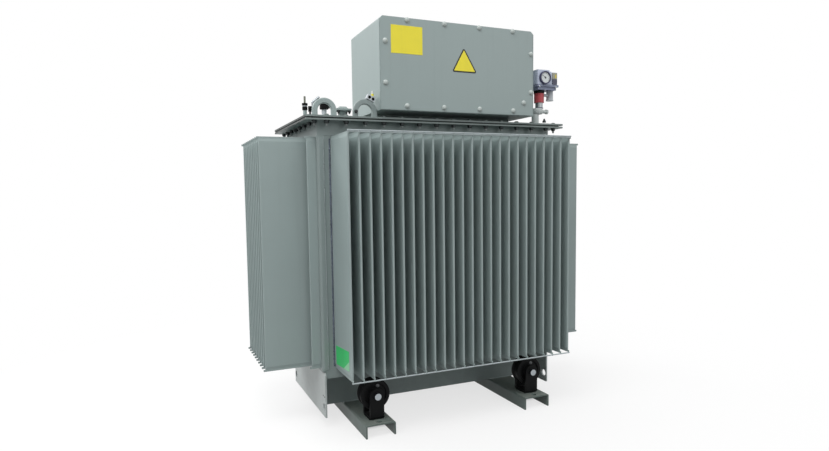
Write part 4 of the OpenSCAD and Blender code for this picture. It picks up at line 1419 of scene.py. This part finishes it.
@dataclass
class Relay:
    """Protection relay: finishes, the gauge's face, marks, needle and small screws."""

    shop: Workshop
    level_share: float = 0.45
    flag_foot: float = 6.0
    flag_head: float = 8.0
    flag_far: float = 13.0
    flag_near: float = 5.0
    recess: float = 5.0
    rim: float = 5.2
    face_depth: float = 0.8
    face_taper: float = 0.018
    tick_count: int = 25
    tick_radius: float = 0.84
    tick_length: float = 0.14
    tick_width: float = 0.035
    tick_lift: float = 0.9
    needle_turn: float = 2.5
    needle_lift: float = 1.0
    needle_depth: float = 0.5
    needle_rim: float = 0.1
    needle: tuple[Pair, ...] = ((-0.22, -0.05), (0.0, -0.07), (0.74, -0.015), (0.74, 0.015), (0.0, 0.07),
                                (-0.22, 0.05))
    hub_radius: float = 0.16
    hub_profile: tuple[Pair, ...] = ((0.0, 0.0), (1.0, 0.0), (1.0, 1.2), (0.7, 1.8), (0.0, 1.8))
    hub_steps: int = 24
    joint_over: float = 2.5
    joint_profile: tuple[Pair, ...] = ((0.0, 0.3), (0.0, 3.5), (-1.0, 4.5))
    screw: DomeSizes = DomeSizes(3.6, 2.4, 4.6, 0.8, 1.4)
    screw_inset: Pair = (14.0, 16.0)
    screw_share: float = 0.6

    def coat(self) -> None:
        """Give the relay's nodes their finishes."""
        low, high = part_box("relay_window")
        level = low.z + (high.z - low.z) * self.level_share
        glass = replace(Finishes.WINDOW, level=level,
                        flag_low=level + self.flag_foot * MM, flag_high=high.z - self.flag_head * MM,
                        flag_left=high.x - self.flag_far * MM, flag_right=high.x - self.flag_near * MM)
        for finish, part in (
            (Finishes.ELBOW, "pipe"), (Finishes.ZINC, "upper_pipe"), (Finishes.GLAND, "gland"),
            (Finishes.RED, "sleeve"), (Finishes.PLASTIC, "ring"), (Finishes.RELAY, "body"),
            (Finishes.RELAY_BASE, "base"), (Finishes.DIAL, "dial"), (glass, "window"),
        ):
            self.shop.finishes.coat(finish, f"relay_{part}")

    def gauge(self) -> None:
        """Build the gauge's face, its marks, its needle and the needle's hub."""
        low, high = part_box("relay_dial")
        centre = (low + high) / 2
        radius = (high.x - low.x) / 2 / MM - self.rim
        spot = (centre.x, low.y + self.recess * MM, centre.z)
        place = Matrix.Translation(spot) @ Matrix.Rotation(math.pi / 2, 4, "X")
        depth = self.face_depth
        profile = [(0.0, 0.0), (radius, 0.0), (radius, depth / 2), (radius * (1.0 - self.face_taper), depth),
                   (0.0, depth)]
        self.shop.turned("gauge_face", Finishes.FACE, profile, place)
        wide = radius * MM
        values = {"Count": self.tick_count, "Radius": wide * self.tick_radius,
                  "Length": wide * self.tick_length, "Width": wide * self.tick_width,
                  "Finish": self.shop.finishes.get(Finishes.MARK)}
        ticks = self.shop.ticks.realise([Vector((0.0, 0.0, 0.0))], [], values)
        ticks.transform(place @ Matrix.Translation((0.0, 0.0, self.tick_lift * MM)))
        Pieces.add("gauge_ticks", ticks, "tank", None)
        raised = place @ Matrix.Translation((0.0, 0.0, self.needle_lift * MM))
        turn = raised @ Matrix.Rotation(self.needle_turn, 4, "Z")
        corners = [turn @ Vector((x * wide, y * wide, 0.0)) for x, y in self.needle]
        lift = turn.to_3x3() @ Vector((0.0, 0.0, self.needle_depth * MM))
        self.shop.sheet("gauge_needle", Finishes.MARK, corners, lift, self.needle_rim)
        profile = [(share * self.hub_radius * radius, height) for share, height in self.hub_profile]
        self.shop.turned("gauge_hub", Finishes.MARK, profile, turn, self.hub_steps)

    def joint(self) -> None:
        """Set the dark joint ring between the elbow and the pipe above it."""
        low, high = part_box("relay_upper_pipe")
        place = Matrix.Translation(((low.x + high.x) / 2, (low.y + high.y) / 2, low.z))
        radius = (high.x - low.x) / 2 / MM + self.joint_over
        rings = [(radius + inset, height) for inset, height in self.joint_profile]
        profile = [(0.0, rings[0][1]), *rings, (0.0, rings[-1][1])]
        self.shop.turned("relay_joint_ring", Finishes.DIAL, profile, place)

    def screws(self) -> None:
        """Set small dome screws on the front of the relay's base."""
        low, high = box_mm("relay_base")
        z = low.z + (high.z - low.z) * self.screw_share
        row = [(x, low.y, z) for x in (low.x + self.screw_inset[0], high.x - self.screw_inset[1])]
        self.shop.fasten("relay_base_screws", Finishes.ZINC, self.screw, {Toward.FRONT: row})

    def dress(self) -> None:
        """Build and dress everything on the relay."""
        self.coat()
        self.gauge()
        self.joint()
        self.screws()


@dataclass
class Rollers:
    """Roller gear: cast iron, bright pins and the plugs in the rollers."""

    shop: Workshop
    places: tuple[str, ...] = ("front_left", "front_right", "rear_left", "rear_right")
    plug: DomeSizes = DomeSizes(8.0, 3.0, 8.5, 1.0, 2.2)
    plug_radius: float = 40.0
    plug_turn: float = 1.25
    dish: float = 6.0

    def coat(self) -> None:
        """Give the roller gear its finishes."""
        self.shop.finishes.coat(Finishes.CAST, "roller_forks", *[f"wheel_{name}" for name in self.places])
        self.shop.finishes.coat(Finishes.STEEL, "roller_pins")

    def plugs(self) -> None:
        """Set a grey plug in the outer face of each roller."""
        for name in self.places:
            low, high = box_mm(f"wheel_{name}")
            x = (low.x + high.x) / 2 + self.plug_radius * math.cos(self.plug_turn)
            z = (low.z + high.z) / 2 + self.plug_radius * math.sin(self.plug_turn)
            if name.startswith("front"):
                rows = {Toward.FRONT: [(x, low.y + self.dish, z)]}
            else:
                rows = {Toward.REAR: [(x, high.y - self.dish, z)]}
            self.shop.fasten(f"roller_plug_{name}", Finishes.PLUG, self.plug, rows, body=f"roller_{name}")

    def dress(self) -> None:
        """Build and dress the roller gear."""
        self.coat()
        self.plugs()


@dataclass(frozen=True)
class Lamp:
    """An area lamp: its place in metres, power in watts, and width and height in metres."""

    name: str
    place: Point
    power: float
    size: Pair


@dataclass
class Studio:
    """Pale floor, white surround, soft lamps and the camera."""

    focal: float = 585.826
    centre: Pair = (395.844, 237.737)
    yaw: float = math.radians(22.718)
    pitch: float = math.radians(4.342)
    roll: float = math.radians(-0.86)
    eye: Point = (-1300.77, -2801.32, 1060.94)
    sensor: float = 36.0
    far: float = 60.0
    horizon: float = 0.2
    zenith: float = 1.1
    zenith_height: float = 0.9
    floor_size: float = 9.0
    floor_tones: Pair = (0.86, 0.9)
    floor_bounce: float = 0.3
    floor_cells: float = 40.0
    fade_span: Pair = (0.9, 2.6)
    fade_least: float = 0.72
    skid_place: float = 0.41
    skid_inside: Pair = (0.056, 0.066)
    skid_reach: Pair = (0.32, 0.38)
    aim: Point = (0.0, 0.0, 0.9)
    lamps: tuple[Lamp, ...] = (
        Lamp("key_lamp", (-4.0, 3.6, 4.8), 172.0, (3.0, 2.6)),
        Lamp("side_lamp", (-4.4, -1.8, 4.4), 62.0, (3.0, 2.4)),
        Lamp("front_lamp", (2.6, -4.4, 3.0), 30.0, (2.4, 2.4)),
        Lamp("ceiling_lamp", (-1.8, -2.4, 5.0), 66.0, (2.2, 1.6)),
    )

    def camera(self) -> None:
        """Set the camera where the picture was taken from."""
        width, height = IMAGE
        data = bpy.data.cameras.new("view")
        data.sensor_fit = "HORIZONTAL"
        data.sensor_width = self.sensor
        data.lens = self.focal / width * self.sensor
        data.shift_x = (width / 2 - self.centre[0]) / width
        data.shift_y = (self.centre[1] - height / 2) / width
        data.clip_end = self.far
        level = math.cos(self.pitch)
        ahead = Vector((math.sin(self.yaw) * level, math.cos(self.yaw) * level, -math.sin(self.pitch)))
        side = Vector((math.cos(self.yaw), -math.sin(self.yaw), 0.0))
        up = side.cross(ahead)
        right = math.cos(self.roll) * side + math.sin(self.roll) * up
        above = math.cos(self.roll) * up - math.sin(self.roll) * side
        turn = Matrix((right, above, -ahead)).transposed().to_4x4()
        camera = bpy.data.objects.new("view", data)
        camera.matrix_world = Matrix.Translation(metres(self.eye)) @ turn
        bpy.context.scene.collection.objects.link(camera)
        bpy.context.scene.camera = camera

    def light(self, lamp: Lamp) -> None:
        """Add an area lamp aimed at the middle of the object.

        Args:
            lamp: The lamp.
        """
        data = bpy.data.lights.new(lamp.name, "AREA")
        data.shape = "RECTANGLE"
        data.energy = lamp.power
        data.size, data.size_y = lamp.size
        item = bpy.data.objects.new(lamp.name, data)
        item.location = lamp.place
        item.rotation_euler = (Vector(self.aim) - Vector(lamp.place)).to_track_quat("-Z", "Y").to_euler()
        bpy.context.scene.collection.objects.link(item)

    @staticmethod
    def seen(graph: Graph) -> Socket:
        """Return a mask that is 1 to the eye, in mirrors and through glass.

        Args:
            graph: Nodes that it is added to.

        Returns:
            The mask.
        """
        path = graph.add("ShaderNodeLightPath").outputs
        mirrored = graph.math("MAXIMUM", path["Is Glossy Ray"], path["Is Transmission Ray"])
        return graph.math("MAXIMUM", path["Is Camera Ray"], mirrored)

    def world(self) -> None:
        """Make the surround white to the eye and a soft sky, brighter overhead, to the object."""
        world = bpy.data.worlds.new("surround")
        bpy.context.scene.world = world
        world.use_nodes = True
        world.node_tree.nodes.clear()
        graph = Graph(world.node_tree)
        height = graph.split(graph.out("ShaderNodeTexCoord", output="Generated"))[2]
        sky = graph.ramp(height, 0.0, self.zenith_height, self.horizon, self.zenith)
        strength = graph.ramp(self.seen(graph), 0.0, 1.0, sky, 1.0)
        back = graph.out("ShaderNodeBackground", {"Color": WHITE, "Strength": strength})
        graph.add("ShaderNodeOutputWorld", {"Surface": back})

    def floor(self) -> None:
        """Lay the pale floor, which fades into the surround and keeps a soft shadow, dark in the skids."""
        material = bpy.data.materials.new("pale_floor")
        material.use_nodes = True
        material.node_tree.nodes.clear()
        graph = Graph(material.node_tree)
        place = graph.place()
        seen = self.seen(graph)
        grain = graph.noise(place, self.floor_cells, 3.0)
        pale = graph.mix(grain, *[grey(tone) for tone in self.floor_tones])
        tone = graph.mix(seen, grey(self.floor_bounce), pale)
        matt = graph.out("ShaderNodeBsdfDiffuse", {"Color": tone})
        glow = graph.out("ShaderNodeEmission", {"Color": WHITE, "Strength": 1.0})
        x, y, _ = graph.split(place)
        off = graph.math("SUBTRACT", graph.math("ABSOLUTE", x), self.skid_place)
        across = graph.ramp(graph.math("ABSOLUTE", off), *self.skid_inside)
        along = graph.ramp(graph.math("ABSOLUTE", y), *self.skid_reach)
        away = graph.out("ShaderNodeVectorMath", {0: place}, 1, operation="LENGTH")
        share = graph.times(seen, graph.ramp(away, *self.fade_span, self.fade_least, 1.0))
        share = graph.times(share, graph.math("MAXIMUM", across, along))
        surface = graph.out("ShaderNodeMixShader", {0: share, 1: matt, 2: glow})
        graph.add("ShaderNodeOutputMaterial", {"Surface": surface})
        mesh = bmesh.new()
        bmesh.ops.create_grid(mesh, x_segments=8, y_segments=8, size=self.floor_size)
        floor = bpy.data.objects.new("floor", Pieces.finish(mesh, material))
        bpy.context.scene.collection.objects.link(floor)

    def build(self) -> None:
        """Build the whole studio."""
        self.camera()
        self.world()
        self.floor()
        for lamp in self.lamps:
            self.light(lamp)
        bpy.context.scene.view_settings.view_transform = "Standard"


def main() -> None:
    """Build the studio and dress every sub-assembly in order."""
    logging.basicConfig(level=logging.INFO, format="%(name)s: %(message)s")
    Studio().build()
    shop = Workshop(Finishes(Effects()))
    for part in (Tank(shop), Lid(shop), CableBox(shop), Relay(shop), Rollers(shop)):
        part.dress()
        LOG.info("dressed %s", type(part).__name__)
    bpy.context.view_layer.update()


if __name__ == "__main__":
    main()
